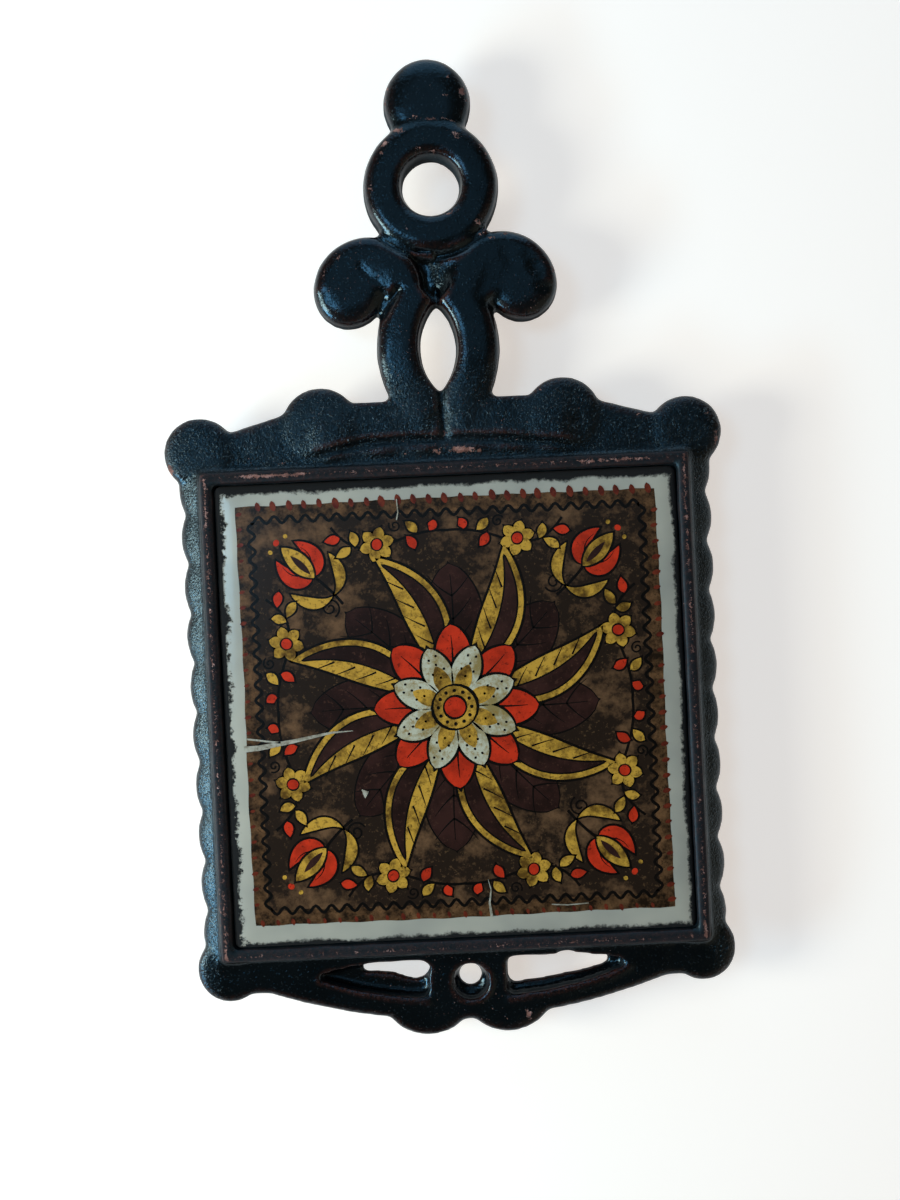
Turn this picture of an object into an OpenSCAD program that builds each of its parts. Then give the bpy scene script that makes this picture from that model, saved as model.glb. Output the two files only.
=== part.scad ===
// Footed cast-iron trivet with a hanging handle and a square glazed tile.
// Lengths are in millimetres. The plan is laid out about the tile's centre,
// +Y runs towards the handle, and z = 0 is the surface the trivet stands on.

/* [Tile] */
// Side of the square tile
tile_side = 108; // [98:0.5:116]
// Thickness of the tile, glaze included
tile_t = 5.5; // [4.5:0.25:8]
// Radius of the tile's upright corners
tile_corner_r = 1.6; // [0.5:0.1:3]
// Width and drop of the softened edge round the glazed face
glaze_edge = 0.7; // [0.3:0.1:1.2]
// Width of each groove in the tile's biscuit back
back_groove_w = 3; // [1.5:0.5:5]
// Depth of those grooves
back_groove_deep = 0.8; // [0.4:0.1:1.5]
// Number of grooves
back_groove_count = 8; // [4:1:11]

/* [Seat] */
// Gap between the tile's edge and the wall round it
tile_gap = 0.3; // [0.1:0.1:1]
// Width of the ledge that carries the tile
ledge_w = 9.8; // [8:0.2:14]
// Thickness of the ledge
ledge_t = 2.5; // [2:0.25:4]
// Leg of the corner gussets in the open window under the tile
window_gusset = 9; // [4:0.5:16]
// Thickness of the adhesive between ledge and tile
bed_t = 0.5; // [0.2:0.1:1.2]
// Width of the adhesive band
bed_w = 6; // [3:0.5:7]
// Distance from the tile's edge to the adhesive band
bed_inset = 1.5; // [1:0.1:3]

/* [Bead] */
// Width of the raised bead round the tile
bead_w = 3.1; // [2.4:0.1:5]
// Height of the bead's rounded crown
bead_crown = 1; // [0.5:0.1:1.4]
// Height of the bead's crest above the glazed face
bead_proud = 0.7; // [0.3:0.1:2]

/* [Scalloped sides] */
// Reach of the scallops beyond the bead
flange_w = 5.3; // [4:0.1:7]
// Number of scallops down each side
scallop_count = 10; // [8:1:12]
// Radius of one scallop
scallop_r = 12; // [10:0.2:14]
// Height of a scallop at its outer edge, above the underside
scallop_edge_h = 3.6; // [2.5:0.1:4.5]
// Rise of a scallop's dome from its edge to its middle
scallop_crown = 4.3; // [3:0.1:5]
// Distance from a corner lobe's middle to the first scallop's middle
scallop_end = 8.4; // [6:0.2:11]
// Narrowing of each side from the handle's end to the other
side_taper = 1.1; // [0:0.1:2]

/* [Corner lobes] */
// Radius of the two lobes at the handle's end
top_lobe_r = 8.4; // [7:0.1:10]
// Reach of those lobes beyond the bead, sideways
top_lobe_out = 8.7; // [7.5:0.1:10]
// Distance from the bead to their middles, towards the handle
top_lobe_up = 5; // [4:0.1:7]
// Radius of the two lobes at the far end
low_lobe_r = 7.8; // [6.5:0.1:9]
// Reach of those lobes beyond the bead, sideways
low_lobe_out = 6.4; // [5.5:0.1:7.5]
// Distance from the bead to their middles, away from the handle
low_lobe_down = 2.5; // [1.5:0.1:4]
// Height of a lobe at its edge, above the underside
lobe_edge_h = 4; // [3:0.1:5]
// Rise of a lobe's dome
lobe_crown = 2.2; // [1:0.1:3]

/* [Crest] */
// Depth of the crest above the bead, at its middle
crest_deep = 15.4; // [14:0.1:19]
// Depth of the crest at its shoulders
crest_shoulder_deep = 13.6; // [12:0.1:16]
// Distance from the middle to a shoulder
crest_shoulder_x = 36.8; // [35:0.2:40]
// Depth of the crest at the dip beside each corner lobe
crest_dip_deep = 9.8; // [8:0.1:12]
// Distance from a corner lobe's middle to that dip
crest_dip_x = 7.9; // [6.5:0.1:9]
// Thickness of the crest
crest_t = 4.8; // [3.5:0.1:6]
// Radius of the two crest lobes
crest_lobe_r = 9.2; // [7.5:0.1:10.5]
// Distance from the middle to a crest lobe's middle
crest_lobe_x = 28.8; // [26:0.2:31]
// Distance from the bead to a crest lobe's middle
crest_lobe_up = 10; // [9:0.1:12]
// Half width of the raised panel on the crest
panel_half = 30; // [26:0.5:33]
// Distance from the bead to the panel's lower edge, at its ends
panel_low = 3.8; // [3:0.1:5]
// Rise of the panel's bowed lower edge from its ends to the middle
panel_bow = 2.8; // [1.5:0.1:4]
// Height of the raised panel above the crest
panel_t = 0.9; // [0.4:0.1:1.5]

/* [Handle] */
// Length of the pointed opening between the stems
lens_len = 21.1; // [17:0.1:24]
// Half width of that opening
lens_half = 4.2; // [3.4:0.1:5]
// Distance from the crest's top edge to the opening
lens_up = 1.4; // [0.5:0.1:2.5]
// Width of a stem and of the scroll that it turns into
stem_w = 10.4; // [9:0.1:11.5]
// Angle by which a stem bends down into the crest
stem_root_angle = 50; // [44:1:56]
// Height of a stem at its edges, above the underside
stem_edge_h = 4.4; // [3.5:0.1:5.5]
// Rise of a stem's rounded back
stem_crown = 2; // [1:0.1:2.6]
// Distance from the middle to a scroll's centre
scroll_x = 15.8; // [15:0.1:17]
// Distance from the middle of the opening to a scroll's centre
scroll_up = 13.9; // [13:0.1:15]
// Radius of a scroll, to the middle of its band
scroll_turn_r = 8; // [7.4:0.1:8.6]
// Angle through which a scroll's band turns over
scroll_sweep = 190; // [180:1:200]
// Radius of the round end of a scroll
scroll_end_r = 8.3; // [7.8:0.1:9.2]
// Place of that end outwards from the scroll's centre
scroll_end_out = 4.8; // [4:0.1:4.9]
// Place of that end above the scroll's centre
scroll_end_up = 0.2; // [0.1:0.1:1]
// Thickness of the thin web behind the scrolls
web_t = 3; // [2:0.1:4]

/* [Ring and knob] */
// Outer radius of the ring
ring_r = 16.1; // [15:0.1:17]
// Radius of the hanging hole
ring_hole_r = 6.8; // [5:0.1:8]
// Distance from the scrolls' centres to the ring's centre
ring_up = 24.2; // [23.5:0.1:25.5]
// Radius of the knob
knob_r = 10.4; // [9.5:0.1:11.5]
// Distance from the ring's centre to the knob's centre
knob_up = 20; // [18.5:0.1:21.5]
// Width of the neck between ring and knob
neck_w = 17.4; // [14:0.1:18]

/* [Foot rail] */
// Distance from the bead to the rail's lower edge, at its ends
rail_end_deep = 8.7; // [8:0.1:10]
// Bow of the rail's lower edge between its ends
rail_bow = 8.2; // [7:0.1:10]
// Distance from a corner lobe's middle to the rail's end
rail_end_x = 9.1; // [7.5:0.1:10]
// Width of the bar below the slots
rail_bar_w = 6.8; // [5.5:0.1:7.5]
// Width of the bar below the left slot, where the casting is thicker
rail_bar_left_w = 8.6; // [7:0.1:9]
// Width of the bar at the face, where the recess round each slot is wider
rail_bar_face_w = 4.6; // [3:0.1:5.5]
// Thickness of the rail
rail_t = 5; // [3.5:0.1:6]
// Thickness left under the recess round each slot
rail_recess_t = 2.2; // [1.2:0.1:3]
// Distance from the bead to the slots
slot_top = 2.3; // [1:0.1:2.5]
// Distance from the middle to the near end of each slot
slot_near = 9.5; // [8.5:0.1:10.5]
// Distance from the middle to the far end of the right slot
slot_right_far = 33.7; // [28:0.1:35]
// Distance from the middle to the far end of the left slot, cast part shut
slot_left_far = 25; // [20:0.1:28]
// Distance from the middle to the far end of the recess round each slot
recess_far = 37; // [35.5:0.1:38]
// Radius of the two lobes at the rail's middle
rail_lobe_r = 11.6; // [10:0.1:12.5]
// Distance from the middle to one of those lobes' middles
rail_lobe_x = 9.5; // [8.5:0.1:10]
// Distance from the bead to their middles
rail_lobe_down = 8.7; // [8:0.1:10]
// Radius of the small eyelet's boss
eyelet_r = 5.6; // [5.2:0.1:6]
// Height of that boss above the rail
eyelet_t = 1; // [0.5:0.1:1.5]
// Radius of the eyelet's hole
eyelet_hole_r = 2.6; // [2:0.1:2.8]
// Width of the step round the hole, where its dished mouth starts
eyelet_step = 0.2; // [0.1:0.05:0.4]
// Radius of the dished mouth at the face
eyelet_mouth_r = 4.5; // [4.4:0.1:4.8]
// Distance from the bead to the hole's middle
eyelet_hole_down = 6.9; // [6.2:0.1:7.6]
// Distance from the hole's middle to the boss's middle
eyelet_boss_down = 0.9; // [0.3:0.1:1.2]
// Sideways place of the eyelet, a little off the middle
eyelet_x = 0.7; // [-1:0.1:1]

/* [Feet] */
// Height of the casting's underside above the table
foot_h = 9; // [8:0.5:16]
// Distance from the tile's edges to a foot's middle
foot_inset = 3; // [2:0.5:5]
// Radius of a cast foot where it meets the frame
foot_root_r = 5.6; // [5.3:0.1:6.2]
// Radius of a cast foot at its shoulder
foot_r = 4.8; // [4.4:0.1:5.2]
// Radius of the spigot that the rubber cap is pushed over
spigot_r = 3.4; // [2.8:0.1:3.6]
// Outer radius of a rubber cap
cap_r = 5; // [4.4:0.1:5.2]
// Height of a rubber cap
cap_h = 4.5; // [3.5:0.1:5]
// Thickness of a cap's floor
cap_floor = 1.6; // [1:0.1:2]
// Radius of the cap's turned-in lower edge
cap_edge = 0.6; // [0.3:0.1:0.8]
// Gap between a cap and the spigot
cap_gap = 0.1; // [0.05:0.01:0.2]

/* [Hidden] */
$fn = 96;
rail_arc_fn = 720;
overrun = 2;

// Heights above the table
under_z = foot_h;
ledge_z = under_z + ledge_t;
tile_z = ledge_z + bed_t;
glaze_z = tile_z + tile_t;
bead_z = glaze_z + bead_proud;
bead_shoulder_z = bead_z - bead_crown;

// Plan sizes from the tile outwards
tile_half = tile_side / 2;
pocket_half = tile_half + tile_gap;
bead_half = pocket_half + bead_w;
window_half = pocket_half - ledge_w;
scallop_reach = bead_half + flange_w - scallop_r;

// Corner lobes
top_lobe_x = bead_half + top_lobe_out - top_lobe_r;
top_lobe_y = bead_half + top_lobe_up;
low_lobe_x = bead_half + low_lobe_out - low_lobe_r;
low_lobe_y = -bead_half - low_lobe_down;

// Scallops run evenly between the corner lobes
scallop_first_y = low_lobe_y + scallop_end;
scallop_pitch = (top_lobe_y - low_lobe_y - 2 * scallop_end) / (scallop_count - 1);

// Crest and handle, upwards from the bead
crest_top_y = bead_half + crest_deep;
lens_y = crest_top_y + lens_up + lens_len / 2;
lens_r = (pow(lens_len / 2, 2) + pow(lens_half, 2)) / (2 * lens_half);
stem_arc_x = lens_r - lens_half;
stem_arc_r = lens_r + stem_w / 2;
stem_top_angle = asin(lens_len / 2 / lens_r);
scroll_y = lens_y + scroll_up;
ring_y = scroll_y + ring_up;
knob_y = ring_y + knob_up;

// Rail, downwards from the bead
rail_end = low_lobe_x - rail_end_x;
rail_arc_r = (pow(rail_end, 2) + pow(rail_bow, 2)) / (2 * rail_bow);
rail_arc_y = rail_arc_r - bead_half - rail_end_deep - rail_bow;
rail_lobe_y = -bead_half - rail_lobe_down;
eyelet_hole_y = -bead_half - eyelet_hole_down;
eyelet_boss_y = eyelet_hole_y - eyelet_boss_down;

// The part's origin is the middle of its plan
plan_mid_y = (knob_y + knob_r + rail_lobe_y - rail_lobe_r) / 2;
foot_xy = tile_half - foot_inset;

// Radius of the arc that rises by crown over half a width
function crown_r(half, crown) = (pow(half, 2) + pow(crown, 2)) / (2 * crown);

// Points of a quarter of a circle, from angle a0
function quarter(cx, cy, r, a0, steps = 6) =
    [for (i = [0:steps]) [cx + r * cos(a0 + 90 * i / steps), cy + r * sin(a0 + 90 * i / steps)]];

// Moves a piece laid out about the tile's centre to the part's own origin
module placed() {
    translate([0, -plan_mid_y, 0]) children();
}

module both_sides() {
    children();
    mirror([1, 0, 0]) children();
}

// A round boss on the underside's plane, with a domed top
module lobe(x, y, r, edge_h, crown) {
    dome_r = crown_r(r, crown);
    translate([x, y, under_z])
        intersection() {
            cylinder(r = r, h = edge_h + crown + overrun);
            translate([0, 0, edge_h + crown - dome_r]) sphere(r = dome_r);
        }
}

// The section of a bar w wide, with a rounded back
module bar_section(w, edge_h, crown) {
    back_r = crown_r(w / 2, crown);
    intersection() {
        translate([-w / 2, 0]) square([w, edge_h + crown + overrun]);
        translate([0, edge_h + crown - back_r]) circle(r = back_r);
    }
}

// A bar bent round an upright axis at x, y, from angle a0 through sweep
module bent_bar(x, y, r, w, edge_h, crown, a0, sweep) {
    translate([x, y, under_z])
        rotate([0, 0, a0])
            rotate_extrude(angle = sweep)
                translate([r, 0]) bar_section(w, edge_h, crown);
}

// Outline of the flat crest over the tile
module crest_outline() {
    dip_x = top_lobe_x - crest_dip_x;
    dip_y = bead_half + crest_dip_deep;
    shoulder_y = bead_half + crest_shoulder_deep;
    polygon([
        [-top_lobe_x, tile_half], [top_lobe_x, tile_half], [top_lobe_x, dip_y], [dip_x, dip_y],
        [crest_shoulder_x, shoulder_y], [crest_lobe_x, crest_top_y], [-crest_lobe_x, crest_top_y],
        [-crest_shoulder_x, shoulder_y], [-dip_x, dip_y], [-top_lobe_x, dip_y]
    ]);
}

// Raised panel on the crest, its lower edge bowed upwards
module panel_outline() {
    bow_r = crown_r(panel_half, panel_bow);
    low_y = bead_half + panel_low;
    difference() {
        polygon([
            [-panel_half, low_y], [panel_half, low_y], [crest_lobe_x, bead_half + crest_lobe_up],
            [crest_lobe_x - crest_lobe_r, crest_top_y - panel_t],
            [crest_lobe_r - crest_lobe_x, crest_top_y - panel_t], [-crest_lobe_x, bead_half + crest_lobe_up]
        ]);
        translate([0, low_y + panel_bow - bow_r]) circle(r = bow_r);
    }
}

module crest() {
    translate([0, 0, under_z]) {
        linear_extrude(crest_t) crest_outline();
        linear_extrude(crest_t + panel_t) panel_outline();
    }
    both_sides() {
        lobe(crest_lobe_x, bead_half + crest_lobe_up, crest_lobe_r, lobe_edge_h, lobe_crown);
        lobe(top_lobe_x, top_lobe_y, top_lobe_r, lobe_edge_h, lobe_crown);
    }
}

// Straight wall round the tile, with its rounded bead
module bead_wall() {
    translate([-bead_half, -bead_half, under_z])
        cube([2 * bead_half, 2 * bead_half, ledge_t + overrun]);
    for (turn = [0:90:270])
        rotate([0, 0, turn])
            translate([bead_half - bead_w / 2, bead_half, under_z])
                rotate([90, 0, 0])
                    linear_extrude(2 * bead_half)
                        bar_section(bead_w, bead_shoulder_z - under_z, bead_crown);
}

module scallops() {
    both_sides()
        for (i = [0:scallop_count - 1])
            lobe(scallop_reach + side_taper * (i / (scallop_count - 1) - 1 / 2),
                 scallop_first_y + i * scallop_pitch, scallop_r, scallop_edge_h, scallop_crown);
}

// Stems, scrolls, ring and knob
module handle() {
    both_sides() {
        bent_bar(-stem_arc_x, lens_y, stem_arc_r, stem_w, stem_edge_h, stem_crown,
                 -stem_root_angle, stem_root_angle + stem_top_angle);
        bent_bar(scroll_x, scroll_y, scroll_turn_r, stem_w, stem_edge_h, stem_crown, 0, scroll_sweep);
        lobe(scroll_x + scroll_end_out, scroll_y + scroll_end_up, scroll_end_r, lobe_edge_h, lobe_crown);
    }
    bent_bar(0, ring_y, (ring_r + ring_hole_r) / 2, ring_r - ring_hole_r, stem_edge_h, stem_crown, 0, 360);
    lobe(0, knob_y, knob_r, lobe_edge_h, lobe_crown);
    web_x = scroll_x - web_t;
    web_low_y = lens_y + lens_len / 2;
    web_high_y = ring_y - ring_r + web_t;
    translate([0, 0, under_z]) {
        linear_extrude(web_t)
            polygon([
                [-web_x, web_low_y], [web_x, web_low_y], [scroll_x, scroll_y],
                [web_x, web_high_y], [-web_x, web_high_y], [-scroll_x, scroll_y]
            ]);
        translate([-neck_w / 2, ring_y + ring_hole_r + stem_crown, 0])
            cube([neck_w, knob_up - ring_hole_r - stem_crown, stem_edge_h]);
    }
}

// Everything inside the rail's bowed edge, shrunk by inset, between two places across
module rail_area(inset, top, x0, x1) {
    intersection() {
        translate([0, rail_arc_y]) circle(r = rail_arc_r - inset, $fn = rail_arc_fn);
        translate([x0, -bead_half - rail_end_deep - rail_bow])
            square([x1 - x0, rail_end_deep + rail_bow - top]);
    }
}

module foot_rail() {
    translate([0, 0, under_z]) {
        linear_extrude(rail_t) rail_area(0, -bead_w / 2, -low_lobe_x, low_lobe_x);
        translate([eyelet_x, eyelet_boss_y, 0]) cylinder(r = eyelet_r, h = rail_t + eyelet_t);
    }
    both_sides() {
        lobe(low_lobe_x, low_lobe_y, low_lobe_r, lobe_edge_h, lobe_crown);
        lobe(rail_lobe_x, rail_lobe_y, rail_lobe_r, lobe_edge_h, lobe_crown / 2);
    }
}

module rail_piercing() {
    translate([0, 0, under_z - overrun])
        linear_extrude(rail_t + lobe_crown + 2 * overrun) {
            rail_area(rail_bar_w, slot_top, slot_near, slot_right_far);
            rail_area(rail_bar_left_w, slot_top, -slot_left_far, -slot_near);
        }
    translate([0, 0, under_z + rail_recess_t])
        linear_extrude(rail_t + lobe_crown)
            both_sides() rail_area(rail_bar_face_w, slot_top, slot_near, recess_far);
    translate([eyelet_x, eyelet_hole_y, under_z - overrun])
        cylinder(r = eyelet_hole_r, h = rail_t + eyelet_t + 2 * overrun);
    translate([eyelet_x, eyelet_boss_y, under_z + rail_recess_t])
        cylinder(r1 = eyelet_hole_r + eyelet_boss_down + eyelet_step, r2 = eyelet_mouth_r,
                 h = rail_t + eyelet_t - rail_recess_t);
}

// The four cast feet, each with a shoulder and a spigot for its rubber cap
module feet() {
    for (x = [-foot_xy, foot_xy], y = [-foot_xy, foot_xy])
        translate([x, y, 0]) {
            translate([0, 0, cap_h + cap_gap])
                cylinder(r1 = foot_r, r2 = foot_root_r, h = under_z + ledge_t / 2 - cap_h - cap_gap);
            translate([0, 0, cap_floor]) cylinder(r = spigot_r, h = cap_h);
        }
}

// Open window under the tile, with gussets across its corners
module window_outline() {
    inner = window_half - window_gusset;
    polygon([
        [-window_half, -inner], [-inner, -window_half], [inner, -window_half], [window_half, -inner],
        [window_half, inner], [inner, window_half], [-inner, window_half], [-window_half, inner]
    ]);
}

module cast_frame() {
    color("#161b20")
        placed() {
            difference() {
                union() {
                    bead_wall();
                    scallops();
                    crest();
                    handle();
                    foot_rail();
                }
                translate([-pocket_half, -pocket_half, ledge_z])
                    cube([2 * pocket_half, 2 * pocket_half, bead_z]);
                translate([0, 0, under_z - overrun]) linear_extrude(foot_h) window_outline();
                rail_piercing();
                translate([0, ring_y, under_z - overrun])
                    cylinder(r = ring_hole_r, h = stem_edge_h + stem_crown + 2 * overrun);
            }
            feet();
        }
}

module tile_outline() {
    k = tile_half - tile_corner_r;
    polygon(concat(
        quarter(k, k, tile_corner_r, 0), quarter(-k, k, tile_corner_r, 90),
        quarter(-k, -k, tile_corner_r, 180), quarter(k, -k, tile_corner_r, 270)
    ));
}

// Glazed tile with a softened face edge and a grooved biscuit back
module tile() {
    groove_pitch = tile_side / back_groove_count;
    color("#3a2f28")
        placed()
            translate([0, 0, tile_z])
                difference() {
                    union() {
                        linear_extrude(tile_t - glaze_edge) tile_outline();
                        translate([0, 0, tile_t - glaze_edge])
                            linear_extrude(glaze_edge, scale = 1 - glaze_edge / tile_half) tile_outline();
                    }
                    for (i = [0:back_groove_count - 1])
                        translate([-tile_half - overrun,
                                   (i + 0.5) * groove_pitch - tile_half - back_groove_w / 2, -overrun])
                            cube([tile_side + 2 * overrun, back_groove_w, back_groove_deep + overrun]);
                }
}

// Band of adhesive between the ledge and the tile's back
module adhesive_bed() {
    outer = tile_half - bed_inset;
    inner = outer - bed_w;
    color("#b9ab8c")
        placed()
            translate([0, 0, ledge_z])
                linear_extrude(bed_t)
                    difference() {
                        square(2 * outer, center = true);
                        square(2 * inner, center = true);
                    }
}

// Rubber cap pushed over the spigot of the foot at x, y
module foot_cap(x, y) {
    color("#26241f")
        placed()
            translate([x, y, 0])
                difference() {
                    union() {
                        cylinder(r1 = cap_r - cap_edge, r2 = cap_r, h = cap_edge);
                        translate([0, 0, cap_edge]) cylinder(r = cap_r, h = cap_h - cap_edge);
                    }
                    translate([0, 0, cap_floor]) cylinder(r = spigot_r + cap_gap, h = cap_h);
                }
}

module foot_cap_front_left() { foot_cap(-foot_xy, -foot_xy); }
module foot_cap_front_right() { foot_cap(foot_xy, -foot_xy); }
module foot_cap_back_left() { foot_cap(-foot_xy, foot_xy); }
module foot_cap_back_right() { foot_cap(foot_xy, foot_xy); }

cast_frame();
tile();
adhesive_bed();
foot_cap_front_left();
foot_cap_front_right();
foot_cap_back_left();
foot_cap_back_right();
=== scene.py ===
from math import atan2, cos, hypot, pi, radians, sin

import bmesh
import bpy
import numpy as np
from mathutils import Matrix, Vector, noise


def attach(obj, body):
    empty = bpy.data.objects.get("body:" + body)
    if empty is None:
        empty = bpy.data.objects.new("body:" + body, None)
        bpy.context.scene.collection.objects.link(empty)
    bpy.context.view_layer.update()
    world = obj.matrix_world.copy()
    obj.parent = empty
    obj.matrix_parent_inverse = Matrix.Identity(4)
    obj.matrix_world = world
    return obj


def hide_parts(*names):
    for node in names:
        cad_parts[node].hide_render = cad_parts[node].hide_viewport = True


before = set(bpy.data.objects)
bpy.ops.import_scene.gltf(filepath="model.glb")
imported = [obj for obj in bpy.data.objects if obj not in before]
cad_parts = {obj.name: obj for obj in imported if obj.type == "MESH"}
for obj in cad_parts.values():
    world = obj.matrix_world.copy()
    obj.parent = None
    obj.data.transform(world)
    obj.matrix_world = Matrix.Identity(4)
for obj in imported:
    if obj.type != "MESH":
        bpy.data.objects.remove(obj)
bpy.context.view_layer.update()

# Casting
# One iron casting poured in green sand: wall and bead round the tile, scalloped sides, lobes,
# crest, foot rail, handle and four feet. Its forms are modelled one by one in millimetres about
# the tile's middle, fused by a remesh as a pattern's fillets fuse them, and reworked at listed places.
PLAN_MID_Y = 37.775  # from the tile's middle to the middle of the whole plan
UNDER, LEDGE_TOP, WALL_TOP, SHOULDER, BEAD_TOP = 9.0, 11.5, 14.5, 17.2, 18.2  # over the table
BEAD, POCKET, WINDOW = 57.4, 54.3, 44.5  # half widths
BEAD_W, BEAD_END, WALL_CORNER, POCKET_CORNER, GUSSET = 3.1, 0.6, 2, 1.2, 9.0
CAST_VOXEL = 0.64


def start_edit(kind="FACE"):
    bpy.ops.object.mode_set(mode="EDIT")
    bpy.ops.mesh.select_mode(type=kind)


def end_edit():
    bpy.ops.object.mode_set(mode="OBJECT")


def choose(kind, test):
    """In edit mode, selects the points, edges or faces whose middle passes the test."""
    data = bpy.context.edit_object.data
    mesh = bmesh.from_edit_mesh(data)
    bpy.ops.mesh.select_all(action="DESELECT")
    if kind == "FACE":
        found = [f for f in mesh.faces if test(f.calc_center_median(), f.normal)]
    elif kind == "EDGE":
        found = [e for e in mesh.edges if test((e.verts[0].co + e.verts[1].co) / 2, e)]
    else:
        found = [v for v in mesh.verts if test(v.co, v)]
    for part in found:
        part.select_set(True)
    bmesh.update_edit_mesh(data)


def reshape(piece, move):
    """Moves all points of a piece: move takes their x, y and z and returns the new ones."""
    data = piece.data
    flat = np.empty(len(data.vertices) * 3)
    data.vertices.foreach_get("co", flat)
    x, y, z = flat.reshape(-1, 3).T
    data.vertices.foreach_set("co", np.stack(move(x, y, z), 1).ravel())
    data.update()


def slab(columns, rows, lay, low, closed=False):
    """A plate made from a grid: lay puts its points in plan and height, then it is extruded
    down to a flat underside."""
    bpy.ops.object.select_all(action="DESELECT")
    bpy.ops.mesh.primitive_grid_add(x_subdivisions=columns, y_subdivisions=rows, size=2)
    piece = bpy.context.object
    reshape(piece, lambda u, v, _: lay(u, v))
    start_edit()
    bpy.ops.mesh.select_all(action="SELECT")
    if closed:
        bpy.ops.mesh.remove_doubles(threshold=0.001)
    bpy.ops.mesh.extrude_region_move(TRANSFORM_OT_translate={"value": (0, 0, -1)})
    bpy.ops.transform.resize(value=(1, 1, 0), center_override=(0, 0, low))
    bpy.ops.mesh.select_all(action="SELECT")
    bpy.ops.mesh.normals_make_consistent(inside=False)
    end_edit()
    return piece


def rolled(part, flat):
    """Share of the crown at part of the way to the edge: 2 is an oval, more is a flatter top."""
    return np.sqrt(np.maximum(1 - np.abs(part) ** flat, 0))


BAR_FLAT = 4.6
BOSS_RINGS = (1, 0.985, 0.95, 0.9, 0.83, 0.73, 0.6, 0.45, 0.25, 0.1)


def boss(x, y, r, edge_h, crown, flat=6):
    """A round boss on the underside's plane: a drum whose top is inset and raised by rings."""
    bpy.ops.object.select_all(action="DESELECT")
    bpy.ops.mesh.primitive_cylinder_add(
        vertices=72, radius=r, depth=edge_h, location=(x, y, UNDER + edge_h / 2))
    piece = bpy.context.object
    start_edit()
    choose("FACE", lambda middle, normal: normal.z > 0.9)
    for outer, inner in zip(BOSS_RINGS, BOSS_RINGS[1:]):
        bpy.ops.mesh.inset(thickness=r * (outer - inner), depth=0)
        bpy.ops.transform.translate(value=(0, 0, crown * float(rolled(inner, flat) - rolled(outer, flat))))
    end_edit()
    return piece


def bent_bar(x, y, r, w, edge_h, crown, a0, sweep, closed=False):
    """A flat-backed bar with a full round top, bent round an upright axis."""
    def lay(u, v):
        angle = np.radians(a0 + sweep * (v + 1) / 2)
        u = np.sin(u * pi / 2)
        out = r + u * w / 2
        return x + out * np.cos(angle), y + out * np.sin(angle), UNDER + edge_h + crown * rolled(u, BAR_FLAT)
    return slab(16, max(12, int(abs(sweep) / 4)), lay, UNDER, closed)


def mirrored(pieces):
    """Copies of pieces on the other side of the middle, each with its own mesh."""
    made = []
    for piece in pieces:
        twin = piece.copy()
        twin.data = piece.data.copy()
        bpy.context.collection.objects.link(twin)
        bpy.ops.object.select_all(action="DESELECT")
        twin.select_set(True)
        bpy.context.view_layer.objects.active = twin
        bpy.ops.object.transform_apply(location=True, rotation=True, scale=True)
        reshape(twin, lambda a, b, c: (-a, b, c))
        start_edit()
        bpy.ops.mesh.select_all(action="SELECT")
        bpy.ops.mesh.flip_normals()
        end_edit()
        made.append(twin)
    return made


def joined(pieces, name):
    bpy.ops.object.select_all(action="DESELECT")
    for piece in pieces:
        piece.select_set(True)
    bpy.context.view_layer.objects.active = pieces[0]
    bpy.ops.object.transform_apply(location=True, rotation=True, scale=True)
    if len(pieces) > 1:
        bpy.ops.object.join()
    piece = bpy.context.object
    piece.name = piece.data.name = name
    return piece


def modified(piece, kind, **settings):
    """Adds a modifier with its settings and applies it."""
    bpy.ops.object.select_all(action="DESELECT")
    piece.select_set(True)
    bpy.context.view_layer.objects.active = piece
    modifier = piece.modifiers.new(kind.title(), kind)
    for key, value in settings.items():
        setattr(modifier, key, value)
    bpy.ops.object.modifier_apply(modifier=modifier.name)


def cut_with(piece, cutter):
    modified(piece, "BOOLEAN", operation="DIFFERENCE", solver="EXACT", object=cutter)
    bpy.data.objects.remove(cutter)


# Wall and floor under the tile: a square plate, cut out later
def wall_plate():
    bpy.ops.object.select_all(action="DESELECT")
    bpy.ops.mesh.primitive_cube_add(
        size=1, location=(0, 0, (UNDER + WALL_TOP) / 2), scale=(2 * BEAD, 2 * BEAD, WALL_TOP - UNDER))
    piece = bpy.context.object
    start_edit("EDGE")
    choose("EDGE", lambda middle, edge: abs(edge.verts[0].co.z - edge.verts[1].co.z) > 0.5)
    bpy.ops.mesh.bevel(offset=WALL_CORNER, segments=5, affect="EDGES")
    end_edit()
    return piece


# Bead: one side laid as a bar with a rounded crest, and turned into the other three
def bead_bar(turn):
    def lay(u, v):
        out = BEAD - BEAD_W / 2 + u * BEAD_W / 2
        along = v * (BEAD - BEAD_END)
        crest = SHOULDER + (BEAD_TOP - SHOULDER) * np.sqrt(np.maximum(1 - u * u, 0))
        return (out * cos(turn) - along * sin(turn), out * sin(turn) + along * cos(turn), crest)
    return slab(10, 60, lay, UNDER)


casting_parts = [wall_plate()] + [bead_bar(radians(90 * side)) for side in range(4)]

# Scallops: one gadroon, repeated down a side and mirrored; the sides close in towards the rail
SCALLOPS, SCALLOP_X, SCALLOP_Y, SCALLOP_PITCH, CLOSE_IN = 10, 50.7, -51.5, 11.722, 1.1
SCALLOP_R, SCALLOP_H, SCALLOP_CROWN, SCALLOP_FLAT = 12, 2.7, 1.5, 5.5
LEAN, LEAN_FROM, LEAN_AT = 0.34, 52, 63.5
END_Y, END_TOP = (56.5, 59.5), (16.5, UNDER + 4.2)


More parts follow.
